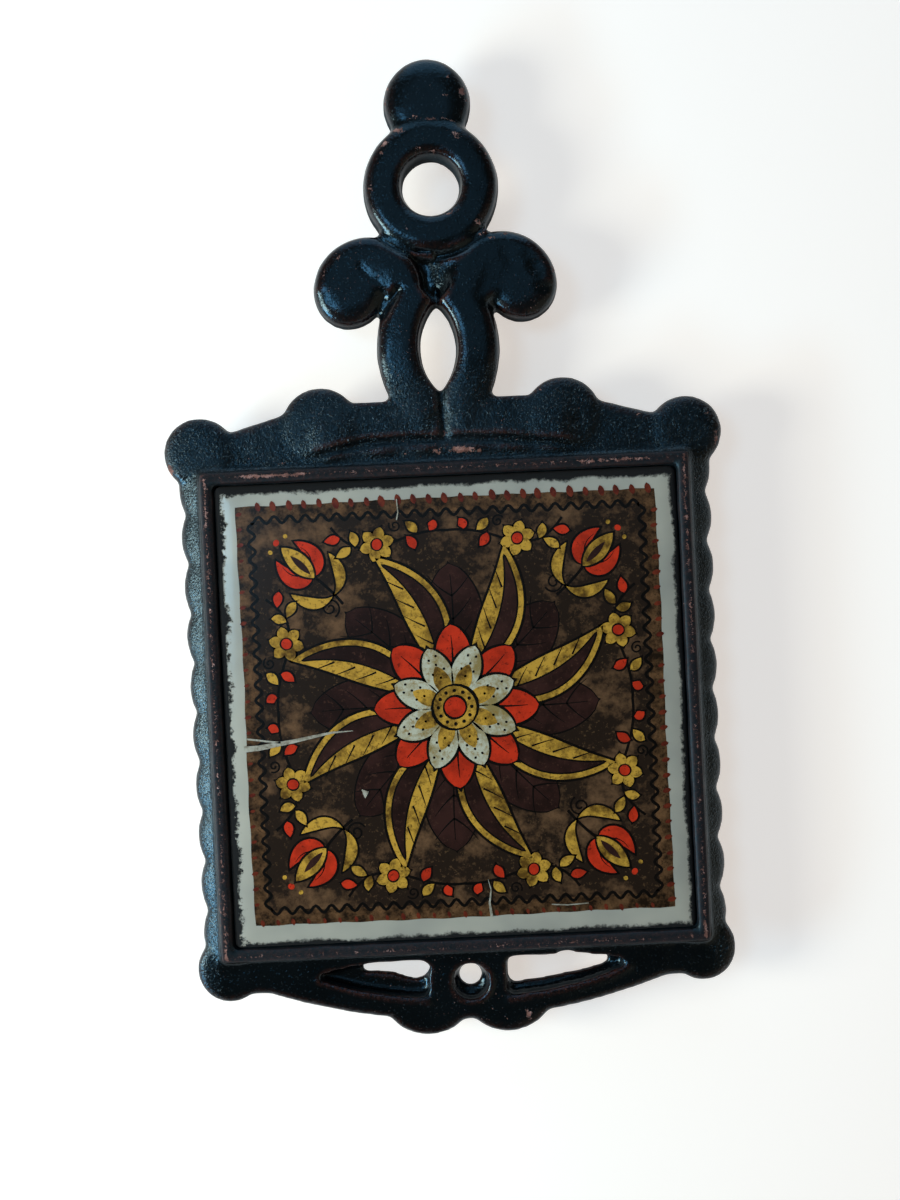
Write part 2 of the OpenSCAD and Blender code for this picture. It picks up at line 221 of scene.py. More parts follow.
def lean_out(x, y, z):
    """Tilts a scallop's top down towards the outside, so that its face looks sideways."""
    on_top = np.clip((z - UNDER) / SCALLOP_H, 0, 1) * (np.abs(x) > LEAN_FROM)
    return x, y, z + LEAN * (LEAN_AT - np.abs(x)) * on_top


def sink_end(x, y, z):
    """Sinks an end scallop below the crest or the rail, past the bead's corner."""
    return x, y, np.minimum(z, np.interp(np.abs(y), END_Y, END_TOP))


scallops = []
for i in range(SCALLOPS):
    across = SCALLOP_X + CLOSE_IN * (i / (SCALLOPS - 1) - 0.5)
    along = SCALLOP_Y + i * SCALLOP_PITCH
    gadroon = boss(across, along, SCALLOP_R, SCALLOP_H, SCALLOP_CROWN, SCALLOP_FLAT)
    reshape(joined([gadroon], "scallop"), lean_out)
    scallops.append(gadroon)
for end in (scallops[0], scallops[-1]):
    reshape(end, sink_end)
casting_parts += scallops + mirrored(scallops)

# Corner lobes and crest lobes: x, y, radius and crown of each, the same on the other side
LOBES, LOBE_H = ((57.7, 62.4, 8.4, 1.6), (56, -59.9, 7.8, 1.4), (28.8, 67.4, 9.2, 1.6)), 3.9
lobes = [boss(x, y, r, LOBE_H, crown) for x, y, r, crown in LOBES]
casting_parts += lobes + mirrored(lobes)

# Crest: a plate whose upper edge falls from the middle to a dip beside each corner lobe
CREST_X, CREST_Y = (0, 24, 28.8, 36.8, 49.8, 57.7), (72.8, 72.8, 72.8, 71.0, 67.2, 67.4)
CREST_LOW, CREST_H, CREST_CROWN, ROUND_W = 54, 3.6, 1.3, 1.6


def crest_top(x):
    return np.interp(np.abs(x), CREST_X, CREST_Y)


def lay_crest(u, v):
    x = u * CREST_X[-1]
    y = CREST_LOW + (crest_top(x) - CREST_LOW) * np.sin((v + 1) * pi / 4)
    return x, y, UNDER + CREST_H + CREST_CROWN * rolled(1 - np.minimum((crest_top(x) - y) / ROUND_W, 1), 2)


casting_parts.append(slab(80, 24, lay_crest, UNDER))

# Stems, scrolls, ring and knob
LENS_Y, SCROLL_Y, RING_Y, KNOB_Y = 84.75, 98.65, 122.85, 142.85
BAR_W, BAR_H, BAR_CROWN, EYE_CROWN = 10.4, 3.4, 3, 2.9
STEM_X, STEM_R, SCROLL_X, SCROLL_R = -11.15, 20.55, 15.8, 8
RING_R, RING_W, RING_H, KNOB_R, KNOB_H = 11.45, 9.3, 3.2, 10.4, 3
handle_half = [
    bent_bar(STEM_X, LENS_Y, STEM_R, BAR_W, BAR_H, BAR_CROWN, -50, 93.4),
    bent_bar(SCROLL_X, SCROLL_Y, SCROLL_R, BAR_W, BAR_H, BAR_CROWN, 0, 190),
    boss(20.6, SCROLL_Y + 0.2, 8.3, BAR_H, EYE_CROWN, flat=4),
    boss(14.5, SCROLL_Y + 3.4, 4.6, BAR_H, EYE_CROWN, flat=5),
]
casting_parts += handle_half + mirrored(handle_half)
casting_parts.append(bent_bar(0, RING_Y, RING_R, RING_W, RING_H, RING_H, 0, 360, closed=True))
casting_parts.append(boss(0, KNOB_Y, KNOB_R, KNOB_H, 3.1, flat=4))

NECK_HALF, NECK_LOW, NECK_LEN, NECK_H = 8.7, RING_Y + 8.8, 11.2, 5.6
WEB_LOW, WEB_LEN, WEB_END, WEB_H, WEB_TILT = 95.3, 14.4, 12.8, 3.9, 0.38


def lay_neck(u, v):
    """The neck between the ring and the knob, sunk along its sides."""
    return u * NECK_HALF, NECK_LOW + (v + 1) / 2 * NECK_LEN, UNDER + NECK_H - 1.2 * u ** 4


def lay_web(u, v):
    """The web that fills the space between the scrolls, rising to the right."""
    y = WEB_LOW + (v + 1) / 2 * WEB_LEN
    x = u * np.interp(y, (WEB_LOW, SCROLL_Y, WEB_LOW + WEB_LEN), (WEB_END, SCROLL_X, WEB_END))
    return x, y, UNDER + WEB_H + WEB_TILT * np.clip(x + 0.4 * (y - 102), -4, 6)


casting_parts += [slab(10, 8, lay_neck, UNDER), slab(10, 10, lay_web, UNDER)]

# Foot rail: a bowed plate, its two middle lobes and the boss of the eyelet
RAIL_R, RAIL_ARC_Y, RAIL_TOP, RAIL_HALF, RAIL_ENDS, RAIL_CROWN = 138.22, 63.92, -55.5, 56, 47, 1.2
EYELET_X, EYELET_Y, EYELET_BOSS_Y = 0.7, -64.3, -65.2


def lay_rail(u, v):
    x = u * RAIL_HALF
    bowed_x = np.clip(x, -RAIL_ENDS, RAIL_ENDS)
    low = RAIL_ARC_Y - np.sqrt(RAIL_R ** 2 - bowed_x * bowed_x)
    y = low + (RAIL_TOP - low) * (1 - np.cos((v + 1) * pi / 4))
    return x, y, UNDER + LOBE_H + RAIL_CROWN * rolled(1 - np.minimum((y - low) / ROUND_W, 1), 2)


rail_lobe = boss(9.5, -66.1, 11.6, LOBE_H, RAIL_CROWN)
casting_parts += [slab(90, 20, lay_rail, UNDER), rail_lobe] + mirrored([rail_lobe])
casting_parts.append(boss(EYELET_X, EYELET_BOSS_Y, 5.6, 4.9, 0.5))

# Feet: a tapered post with a shoulder, and a spigot that the rubber cap is pushed over
FOOT, FOOT_R, NECK_R, FOOT_END_R = 51.0, 5.9, 5.3, 4.8
NECK_DROP, POST_DROP, SPIGOT_STEP, SPIGOT_L = 1.2, 3.2, 1.4, 3


def foot(x, y):
    bpy.ops.object.select_all(action="DESELECT")
    bpy.ops.mesh.primitive_cylinder_add(vertices=48, radius=FOOT_R, depth=2, location=(x, y, UNDER + 1))
    piece = bpy.context.object
    start_edit()
    choose("FACE", lambda middle, normal: normal.z < -0.9)
    for drop, shrink in ((NECK_DROP, NECK_R / FOOT_R), (POST_DROP, FOOT_END_R / NECK_R)):
        bpy.ops.mesh.extrude_region_move(TRANSFORM_OT_translate={"value": (0, 0, -drop)})
        bpy.ops.transform.resize(value=(shrink, shrink, 1), center_override=(x, y, 0))
    bpy.ops.mesh.inset(thickness=SPIGOT_STEP, depth=0)
    bpy.ops.mesh.extrude_region_move(TRANSFORM_OT_translate={"value": (0, 0, -SPIGOT_L)})
    end_edit()
    return piece


casting_parts += [foot(x, y) for x in (-FOOT, FOOT) for y in (-FOOT, FOOT)]

casting = joined(casting_parts, "casting")
modified(casting, "REMESH", mode="VOXEL", voxel_size=CAST_VOXEL)

# What the core and the tools leave open: tile pocket, window, hanging hole, eyelet and rail slots
def block_cutter(half, low, high, corner, segments):
    bpy.ops.object.select_all(action="DESELECT")
    bpy.ops.mesh.primitive_cube_add(
        size=1, location=(0, 0, (low + high) / 2), scale=(2 * half, 2 * half, high - low))
    cutter = bpy.context.object
    bpy.ops.object.transform_apply(location=True, rotation=True, scale=True)
    start_edit("EDGE")
    choose("EDGE", lambda middle, edge: abs(edge.verts[0].co.z - edge.verts[1].co.z) > 1)
    bpy.ops.mesh.bevel(offset=corner, segments=segments, affect="EDGES")
    end_edit()
    return cutter


def round_cutter(x, y, r, low, high, r_high):
    bpy.ops.object.select_all(action="DESELECT")
    bpy.ops.mesh.primitive_cylinder_add(
        vertices=64, radius=r, depth=high - low, location=(x, y, (low + high) / 2))
    cutter = bpy.context.object
    start_edit()
    choose("FACE", lambda middle, normal: normal.z > 0.9)
    bpy.ops.transform.resize(value=(r_high / r, r_high / r, 1), center_override=(x, y, high))
    end_edit()
    return cutter


def trough_cutter(points, low, high, draft):
    """A prism over an outline given as (x, lower y, upper y), drawn in by draft at its foot."""
    xs, lows, highs = (np.array(column) for column in zip(*points))

    def lay(u, v):
        x = xs[0] + (xs[-1] - xs[0]) * (u + 1) / 2
        bottom, top = np.interp(x, xs, lows), np.interp(x, xs, highs)
        return x, bottom + (top - bottom) * (v + 1) / 2, high + 0 * x
    cutter = slab(70, 3, lay, low)
    middle_x, middle_y = float(xs.mean()), float((lows.mean() + highs.mean()) / 2)
    start_edit()
    choose("VERT", lambda place, _: place.z < low + 0.01)
    bpy.ops.transform.resize(value=(1 - draft / 4, 1 - draft, 1), center_override=(middle_x, middle_y, low))
    end_edit()
    return cutter


# Outlines of the rail's slots and of the recesses round them, each point x, lower y, upper y
RIGHT_SLOT = ((9.5, -65.2, -61.6), (10.3, -66.6, -60.1), (11.6, -66.9, -59.7), (14.4, -66.5, -59.7),
              (16, -66.3, -60.5), (19.5, -65.9, -60.6), (22, -65.5, -59.2), (24, -65.2, -58.9),
              (26, -64.9, -59.6), (29, -64.3, -60.1), (32, -63.6, -60.3), (33.2, -63.2, -60.8),
              (33.8, -62.6, -61.4))
LEFT_SLOT = ((-25, -61.9, -60.9), (-24.3, -62.6, -60.1), (-20, -62.8, -59.8), (-17.6, -63.1, -59.9),
             (-15.2, -64.1, -59.6), (-12.6, -64.9, -59.7), (-10.6, -64.6, -59.9), (-9.2, -63.3, -60.6),
             (-8.9, -62.4, -61.3))
RIGHT_RECESS = ((9, -68.2, -60.4), (10, -69.2, -59.6), (18, -68.4, -59.5), (26, -66.8, -59.6),
                (33, -64.8, -60.2), (36.5, -63.4, -61.2), (38, -62.6, -62.1))
LEFT_RECESS = ((-35.5, -62.9, -62.4), (-33, -64, -61.4), (-26, -66.2, -60), (-18, -67.9, -59.6),
               (-11, -68.8, -59.6), (-9.4, -68.4, -60.2), (-8.8, -67.4, -61))
CUT_FROM, CUT_TO, POCKET_CUT_TO, WINDOW_CUT_TO, TROUGH_TO = 5, 20, 25, 15, 18
HANGING_R, EYELET_R, DISH_R, DISH_MOUTH_R, DISH_TO, RECESS_FLOOR = 6.8, 2.6, 3.7, 4.6, 15.2, 11.2
cut_with(casting, block_cutter(POCKET, LEDGE_TOP, POCKET_CUT_TO, POCKET_CORNER, 4))
cut_with(casting, block_cutter(WINDOW, CUT_FROM, WINDOW_CUT_TO, GUSSET, 1))
cut_with(casting, round_cutter(0, RING_Y, HANGING_R, CUT_FROM, CUT_TO, HANGING_R))
cut_with(casting, round_cutter(EYELET_X, EYELET_Y, EYELET_R, CUT_FROM, CUT_TO, EYELET_R))
cut_with(casting, round_cutter(EYELET_X, EYELET_BOSS_Y, DISH_R, RECESS_FLOOR, DISH_TO, DISH_MOUTH_R))
RECESS_DRAFT, SLOT_DRAFT = 0.12, 0.05
for outline, low, draft in ((RIGHT_RECESS, RECESS_FLOOR, RECESS_DRAFT),
                            (LEFT_RECESS, RECESS_FLOOR, RECESS_DRAFT),
                            (RIGHT_SLOT, CUT_FROM, SLOT_DRAFT), (LEFT_SLOT, CUT_FROM, SLOT_DRAFT)):
    cut_with(casting, trough_cutter(outline, low, TROUGH_TO, draft))
modified(casting, "REMESH", mode="VOXEL", voxel_size=CAST_VOXEL)
modified(casting, "SMOOTH", factor=0.5, iterations=4)


# Marks on the casting: what the pattern's carving, the sand and years of use left on it
def read_points(piece):
    data = piece.data
    place, normal = np.empty(len(data.vertices) * 3), np.empty(len(data.vertices) * 3)
    data.vertices.foreach_get("co", place)
    data.vertices.foreach_get("normal", normal)
    return place.reshape(-1, 3), normal.reshape(-1, 3)


def step_up(value, low, high):
    t = np.clip((value - low) / (high - low), 0, 1)
    return t * t * (3 - 2 * t)


def line_distance(x, y, points):
    """Distance in plan from each point to a drawn line."""
    best = np.full(len(x), 1e9)
    for (x0, y0), (x1, y1) in zip(points, points[1:]):
        dx, dy = x1 - x0, y1 - y0
        t = np.clip(((x - x0) * dx + (y - y0) * dy) / (dx * dx + dy * dy), 0, 1)
        best = np.minimum(best, np.hypot(x - x0 - t * dx, y - y0 - t * dy))
    return best


def mound(x, y, cx, cy, rx, ry, turn=0):
    """Soft oval patch, 1 at its middle."""
    c, s = cos(radians(turn)), sin(radians(turn))
    u, v = ((x - cx) * c + (y - cy) * s) / rx, ((y - cy) * c - (x - cx) * s) / ry
    return np.exp(-(u * u + v * v) * 1.4)


def unevenness(place, size, seed):
    """Smooth noise with bumps of a given size, one value a point."""
    return np.array([noise.noise((p[0] / size + seed, p[1] / size - seed, p[2] / size)) for p in place])


def neighbours(piece):
    """The two ends of every edge, as two lists of points."""
    pairs = np.empty(len(piece.data.edges) * 2, dtype=int)
    piece.data.edges.foreach_get("vertices", pairs)
    return pairs.reshape(-1, 2).T


def averaged(values, one, two, times=1):
    """Each point's mean with its neighbours, so that a value spreads out over the surface."""
    size = len(values)
    count = 1 + np.bincount(one, minlength=size) + np.bincount(two, minlength=size)
    for _ in range(times):
        total = values.copy()
        for here, there in ((one, two), (two, one)):
            total += np.bincount(here, weights=values[there], minlength=size)
        values = total / count
    return values


place, normal = read_points(casting)
x, y, z = place.T
face_up = step_up(normal[:, 2], 0.15, 0.75)
outside = np.maximum(np.abs(x), np.abs(y)) > BEAD + 0.3
lift = 0.14 * unevenness(place, 9, 3) + 0.06 * unevenness(place, 3.2, 8)

# Crest: the panel stands up behind a bowed step, over a row of low veined leaves
PANEL_X, PANEL_Y = (-30, -19.4, -8.7, 0, 12.7, 26, 30), (61, 63.4, 63.9, 63.6, 63.3, 61.7, 61)
PANEL_RISE, STEP_DEEP, LEAF_RISE, LEAF_W, VEIN_DEEP, VEIN_W = 0.95, 0.5, 0.75, 1.35, 0.25, 0.4
LEAVES = ((-25.4, 59.9, 4.6, 8), (-14.8, 60.9, 5, 3), (-4.2, 61.2, 4.4, 0), (6.2, 61, 4.6, -2),
          (16, 60.6, 4.6, -4), (25.2, 59.8, 4.2, -9))  # x, y, half length, turn
above = y - np.interp(x, PANEL_X, PANEL_Y)
inside_panel = (1 - step_up(np.abs(x), 27.5, 33)) * outside
falling = 1 - 0.8 * step_up(above, 5, 11) * (1 - np.exp(-(x / 13) ** 2))
lift += PANEL_RISE * step_up(above, -0.5, 0.7) * falling * inside_panel
lift -= STEP_DEEP * np.exp(-((above + 0.7) / 0.6) ** 2) * inside_panel
for leaf_x, leaf_y, leaf_r, turn in LEAVES:
    lift += LEAF_RISE * mound(x, y, leaf_x, leaf_y, leaf_r, LEAF_W, turn) * outside
    lift -= VEIN_DEEP * mound(x, y, leaf_x, leaf_y, leaf_r * 0.7, VEIN_W, turn) * outside

# Handle: the cleft under the opening, creases in the left scroll and hollows in the right one
CREASES = (  # line, half width, depth
    (((0.2, 77), (0.3, 72), (0.7, 64.6)), 1.1, 1.5),
    (((-17.6, 104.6), (-16.6, 103.2), (-15.2, 101.6), (-13.3, 100.5)), 0.5, 0.4),
    (((-12.6, 92.6), (-11.2, 95), (-9, 98.1)), 0.9, 1),
    (((0.2, 95), (0, 98.4)), 0.6, 0.6),
    (((22, 105), (25, 101)), 1.6, 0.25),
    (((17, 106), (19, 103)), 1.5, 0.2),
)
for points, width, deep in CREASES:
    lift -= deep * np.exp(-(line_distance(x, y, points) / width) ** 2)
lift -= 0.35 * mound(x, y, 23.5, 102.5, 2.5, 2) + 0.3 * mound(x, y, 25.5, 97.5, 2, 1.6)

# Under the ring a strip of web shows between it and the scrolls, lower than both
STRIP_R, STRIP_HALF = 16.9, 0.85
ring_far = np.hypot(x, y - RING_Y)
strip = np.exp(-((ring_far - STRIP_R) / STRIP_HALF) ** 4) * (1 - step_up(y, 112.4, 113.6))
strip_height = np.where(x < 0, 13.8 + 0.6 * (17.7 - ring_far), 12.9 + 0.18 * x)
lift += (strip_height - z) * strip

# The stems sink towards the crest
STEM_SINK = 1.1
low_stem = (1 - step_up(y, 70, 86)) * step_up(y, 66, 68) * (np.abs(x) < 19)
lift -= STEM_SINK * low_stem * step_up(z, 13.6, 14.8)

# Foot rail: the raised lip under each recess, and a lip round the lower right of the dish
LIP_RISE, DISH_LIP_R = 0.3, 4.9
LIPS = (((-35, -63.4), (-26, -66.9), (-18, -68.7), (-10, -69.7)),
        ((10, -70), (18, -69.2), (26, -67.5), (33, -65.5), (37.8, -63.2)))
for points in LIPS:
    lift += LIP_RISE * np.exp(-((line_distance(x, y, points) - 0.4) / 0.8) ** 2) * (y < -60)
far = np.abs(np.hypot(x - EYELET_X, y - EYELET_BOSS_Y) - DISH_LIP_R)
lift += LIP_RISE * np.exp(-(far / 0.6) ** 2) * step_up(x - y, 62, 68)
place[:, 2] += lift * face_up

# Fillets where the stems run down into the crest
fillet = face_up * (1 - step_up(np.abs(x), 19, 25)) * step_up(y, 64.5, 66) * (1 - step_up(y, 75, 79))
fillet *= 1 - 0.9 * np.exp(-(x / 1.6) ** 2)
one, two = neighbours(casting)
even = averaged(place[:, 2] * face_up, one, two, 30) / np.maximum(averaged(face_up, one, two, 30), 0.05)
place[:, 2] += (even - place[:, 2]) * fillet

# Edges of the casting wander a little in plan, and nothing passes the sizes of the pattern
HALF_WIDTH, RAIL_END, KNOB_END, SPIGOT_END = 66.1, -77.69, 153.24, 1.6
sideways = 0.13 * unevenness(place, 6, 21) + 0.05 * unevenness(place, 2.2, 5)
place[:, :2] += normal[:, :2] * (sideways * (1 - face_up))[:, None]
place[:, 0] = np.clip(place[:, 0], -HALF_WIDTH, HALF_WIDTH)
place[:, 1] = np.clip(place[:, 1], RAIL_END, KNOB_END)
place[:, 2] = np.clip(place[:, 2], SPIGOT_END, BEAD_TOP)
casting.data.vertices.foreach_set("co", place.ravel())
casting.data.update()


# Wear: how far the paint is rubbed from ridges, and where it has come off in chips
def mark(piece, name, values):
    layer = piece.data.attributes.new(name, "FLOAT", "POINT")
    layer.data.foreach_set("value", values.astype(np.float32))


place, normal = read_points(casting)
x, y, z = place.T
ridge = sum((axis - averaged(axis, one, two, 3)) * facing for axis, facing in zip(place.T, normal.T))
ridge = averaged(ridge / CAST_VOXEL, one, two, 2)
CHIPS = (  # x, y, half length, half width, turn, strength
    (8.5, 144.6, 1.5, 1, 70, 1), (9.4, 142.6, 0.8, 0.6, 0, 0.8), (-7, 135.8, 2.1, 0.9, -8, 1),
    (-9.3, 146.5, 0.5, 1.3, 20, 0.7), (-9.8, 142.6, 0.5, 0.8, 0, 0.8),
    (-10.4, 132.6, 1.3, 0.7, 35, 0.85), (-11.2, 130.6, 0.6, 1.1, 30, 0.7),
    (6.6, 134, 1.6, 0.8, -20, 0.75), (5.4, 137.6, 1.8, 0.5, -6, 0.75), (-3, 138.6, 1.6, 0.7, 20, 0.66),
    (1, 137.8, 2.6, 0.7, 0, 0.62), (4.5, 143.5, 0.8, 0.5, 0, 0.7), (1, 145.4, 0.7, 0.4, 0, 0.68),
    (5.3, 148, 0.6, 0.5, 0, 0.66), (12.4, 131.4, 0.6, 1, 30, 0.75), (13.4, 129.2, 0.6, 0.8, 40, 0.75),
    (4.2, 115.6, 1.5, 0.6, 20, 0.72), (-2.6, 131.2, 0.6, 1.2, 0, 0.6), (1, 130.6, 1.4, 0.5, 0, 0.62),
    (10.8, 113.4, 0.8, 1, 0, 0.95), (11.4, 110.6, 1.2, 0.6, 0, 0.7), (17, 110.4, 1.3, 0.6, -10, 0.8),
    (13.6, 109.6, 1.6, 0.5, 10, 0.75), (-17, 110.2, 0.8, 0.5, 20, 0.75),
    (-22.5, 106.5, 0.7, 1, -30, 0.6), (27.8, 101.5, 0.6, 2, 10, 0.65), (26, 106.5, 0.6, 1.2, 40, 0.65),
    (-26, 103, 0.5, 1.4, 0, 0.6), (-14, 123, 0.6, 1.6, 0, 0.6), (-13.6, 118.4, 0.6, 1.8, 20, 0.62),
    (-6, 112.6, 1, 0.5, -30, 0.6), (-64.6, 58.6, 0.9, 2, 10, 1), (64.6, 60.4, 0.8, 2.4, 0, 0.7),
    (62.6, 66.4, 1, 0.7, -40, 0.62), (-26, 62.6, 0.8, 0.5, 0, 0.5), (4.6, 60.4, 4.4, 0.9, -3, 1),
    (8.4, 59.8, 1, 0.8, 40, 0.8), (-1.5, 60.2, 1.2, 0.8, 0, 0.9), (0.5, 64.6, 0.9, 0.7, 0, 0.7),
    (-9, 60, 0.9, 0.6, 0, 0.6), (23.4, 73.6, 0.8, 0.5, 0, 0.66), (39.6, 69.8, 2.4, 0.6, -14, 0.6),
    (-38, 59.2, 1, 0.6, 0, 0.6), (14, -73.6, 1.1, 1.5, 20, 0.8), (-57, -45, 0.4, 9, 0, 0.5),
    (61, -52, 0.6, 2, 0, 0.5), (46.5, 66.8, 1.2, 0.5, -10, 0.55),
)
chip = np.zeros(len(x))
for chip_x, chip_y, half_l, half_w, turn, strength in CHIPS:
    chip = np.maximum(chip, strength * mound(x, y, chip_x, chip_y, half_l, half_w, turn) * (z > 11))

# The bead is rubbed along its crest, most near the ends of its upper side and at its lower corners
RUB_X, RUB_TOP = ((-56, -48, -46, -34, -31, 30, 33, 46, 49, 56),
                  (0.3, 0.4, 0.85, 0.8, 0.42, 0.4, 0.7, 0.8, 0.4, 0.35))
RUB_Y, RUB_SIDE = (-56, -48, -30, 0, 30, 56), (0.75, 0.5, 0.42, 0.45, 0.5, 0.6)
RUB_LOW, RUB_HALF = 0.38, 0.5
middle = BEAD - BEAD_W / 2
for far, amount in ((np.abs(y - middle), np.interp(x, RUB_X, RUB_TOP)),
                    (np.abs(np.abs(x) - middle), np.interp(y, RUB_Y, RUB_SIDE)),
                    (np.abs(y + middle), RUB_LOW)):
    chip = np.maximum(chip, amount * np.exp(-(far / RUB_HALF) ** 2) * step_up(z, 17.4, 18))
mark(casting, "chipped", chip)
mark(casting, "ridge", ridge)

# The crest and the sides were poured against coarser sand than the smoother handle and rail
on_crest = step_up(y, 55.5, 58) * (1 - step_up(y, 74, 84))
on_side = step_up(np.abs(x), BEAD, BEAD + 1.5) * (y < 56)
mark(casting, "sandy", 0.22 + 0.78 * on_crest + 0.5 * on_side)

# The rubbed bead and the upright walls have lost their gloss
on_bead = np.exp(-((np.maximum(np.abs(x), np.abs(y)) - middle) / 1.3) ** 4) * step_up(z, 16, 17)
upright = 1 - step_up(normal[:, 2], 0.05, 0.4)
mark(casting, "dull", np.maximum(upright, 0.9 * on_bead))


def settle(piece, body="root"):
    """Brings a piece from the drawing's millimetres to its place in the frame, in metres."""
    bpy.ops.object.select_all(action="DESELECT")
    piece.select_set(True)
    bpy.context.view_layer.objects.active = piece
    bpy.ops.object.transform_apply(location=True, rotation=True, scale=True)
    piece.scale = (0.001, 0.001, 0.001)
    piece.location = (0, -PLAN_MID_Y / 1000, 0)
    bpy.ops.object.transform_apply(location=True, rotation=True, scale=True)
    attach(piece, body)


def smooth_shaded(piece, angle=40):
    bpy.ops.object.select_all(action="DESELECT")
    piece.select_set(True)
    bpy.context.view_layer.objects.active = piece
    bpy.ops.object.shade_smooth_by_angle(angle=radians(angle))


smooth_shaded(casting, 180)
settle(casting)


# Satin black paint brushed thin over cast iron: cold in its gloss, it follows the sand's grain.
# Where it is rubbed it turns brown, and chips show pinkish primer. Foundry sand is about 0.2 mm,
# and its coarser grit is drawn at 0.34 mm so that it shows.
def linear(code):
    """The linear colour of an sRGB hex value."""
    parts = [int(code[i:i + 2], 16) / 255 for i in (1, 3, 5)]
    return tuple(c / 12.92 if c <= 0.04045 else ((c + 0.055) / 1.055) ** 2.4 for c in parts) + (1,)


def new_material(name, **settings):
    """A material with its surface shader's constant sockets set."""
    material = bpy.data.materials.new(name)
    material.use_nodes = True
    shader = material.node_tree.nodes["Principled BSDF"]
    for key, value in settings.items():
        shader.inputs[key.replace("_", " ")].default_value = value
    return material, shader


def add(material, kind, *sources, output=None, stops=(), **settings):
    """Adds a node and gives its output. Sources, each a socket or a value, go to its inputs in
    order; settings go on the node or to the input of that name; stops are a ramp's colours."""
    node = material.node_tree.nodes.new("ShaderNode" + kind)
    named = {}
    for key, value in settings.items():
        if hasattr(node, key):
            setattr(node, key, value)
        else:
            named[node.inputs[key]] = value
    for _ in stops[2:]:
        node.color_ramp.elements.new(0.5)
    for index, (position, colour) in enumerate(stops):
        element = node.color_ramp.elements[index]
        element.position, element.color = position, colour
    inputs = [socket for socket in node.inputs if socket.enabled]
    for socket, value in [*zip(inputs, sources), *named.items()]:
        if hasattr(value, "is_linked"):
            material.node_tree.links.new(value, socket)
        else:
            socket.default_value = value
    return node.outputs[output] if output else next(socket for socket in node.outputs if socket.enabled)


def feed(material, shader, **sources):
    """Links outputs to the surface shader's inputs of those names."""
    for key, source in sources.items():
        material.node_tree.links.new(source, shader.inputs[key.replace("_", " ")])


def coated(piece, material):
    piece.data.materials.clear()
    piece.data.materials.append(material)


def grey(value):
    return (value, value, value, 1)


def per_metre(size_mm):
    """The scale of a noise whose bumps are about size_mm across."""
    return 1000 / (size_mm * 2)


iron, shader = new_material("satin_paint_on_cast_iron", IOR=1.5, Specular_Tint=linear("#b0daf0"))
where = add(iron, "TexCoord", output="Object")
MARKS = ("chipped", "ridge", "sandy", "dull")
chipped, on_ridge, on_sand, dulled = (
    add(iron, "Attribute", output="Fac", attribute_name=name) for name in MARKS)

fine_sand = add(iron, "TexNoise", where, per_metre(0.19), 1)
sand = add(iron, "TexNoise", where, per_metre(0.36), 2)
sand = add(iron, "Math", sand, 1.1, fine_sand, operation="MULTIPLY_ADD")
grit = add(iron, "TexNoise", where, per_metre(0.34), 1)
grit = add(iron, "ValToRGB", grit, stops=((0.6, grey(0)), (0.7, grey(1))))
sand = add(iron, "Math", grit, 0.75, sand, operation="MULTIPLY_ADD")

cloudy = add(iron, "TexNoise", where, per_metre(11), 3)
coat = add(iron, "ValToRGB", cloudy, stops=((0.35, linear("#040608")), (0.65, linear("#080c0f"))))
# Painted glints: small light grey specks on the sandy parts stand in for sparkles of light off the sand
# grain. They are painted highlights in the colour, not specks in the paint.
painted_glint = add(iron, "TexNoise", where, per_metre(0.28), 1)
painted_glint = add(iron, "ValToRGB", painted_glint, stops=((0.66, grey(0)), (0.72, grey(1))))
painted_glint = add(iron, "Math", painted_glint, on_sand, operation="MULTIPLY")
coat = add(iron, "Mix", painted_glint, coat, linear("#3a464c"), data_type="RGBA")

speck = add(iron, "TexNoise", where, per_metre(0.42), 4, 0.8)
rubbed = add(iron, "ValToRGB", on_ridge, stops=((0.04, grey(0)), (0.24, grey(1))))
patchy = add(iron, "ValToRGB", speck, stops=((0.38, grey(0)), (0.62, grey(1))))
brown = add(iron, "Math", rubbed, patchy, operation="MULTIPLY")
brown = add(iron, "Math", brown, 0.75, operation="MULTIPLY")
coat = add(iron, "Mix", brown, coat, linear("#4e2a20"), data_type="RGBA")

torn = add(iron, "Math", speck, 0.5, operation="SUBTRACT")
torn = add(iron, "Math", torn, 2.5, chipped, operation="MULTIPLY_ADD")
torn = add(iron, "ValToRGB", torn, stops=((0.52, grey(0)), (0.58, grey(1))))
salt = add(iron, "TexNoise", where, per_metre(0.24), 1)
salt = add(iron, "ValToRGB", salt, stops=((0.735, grey(0)), (0.77, grey(0.75))))
in_drifts = add(iron, "TexNoise", where, per_metre(14), 2)
in_drifts = add(iron, "ValToRGB", in_drifts, stops=((0.5, grey(0)), (0.64, grey(1))))
salt = add(iron, "Math", salt, in_drifts, operation="MULTIPLY")
flake = add(iron, "Math", torn, salt, operation="MAXIMUM")
primer = add(iron, "TexNoise", where, per_metre(1.4), 4, 0.7)
primer = add(iron, "ValToRGB", primer, stops=(
    (0.36, linear("#5e3a30")), (0.5, linear("#8a5e52")), (0.66, linear("#b89088"))))
coat = add(iron, "Mix", flake, coat, primer, data_type="RGBA")

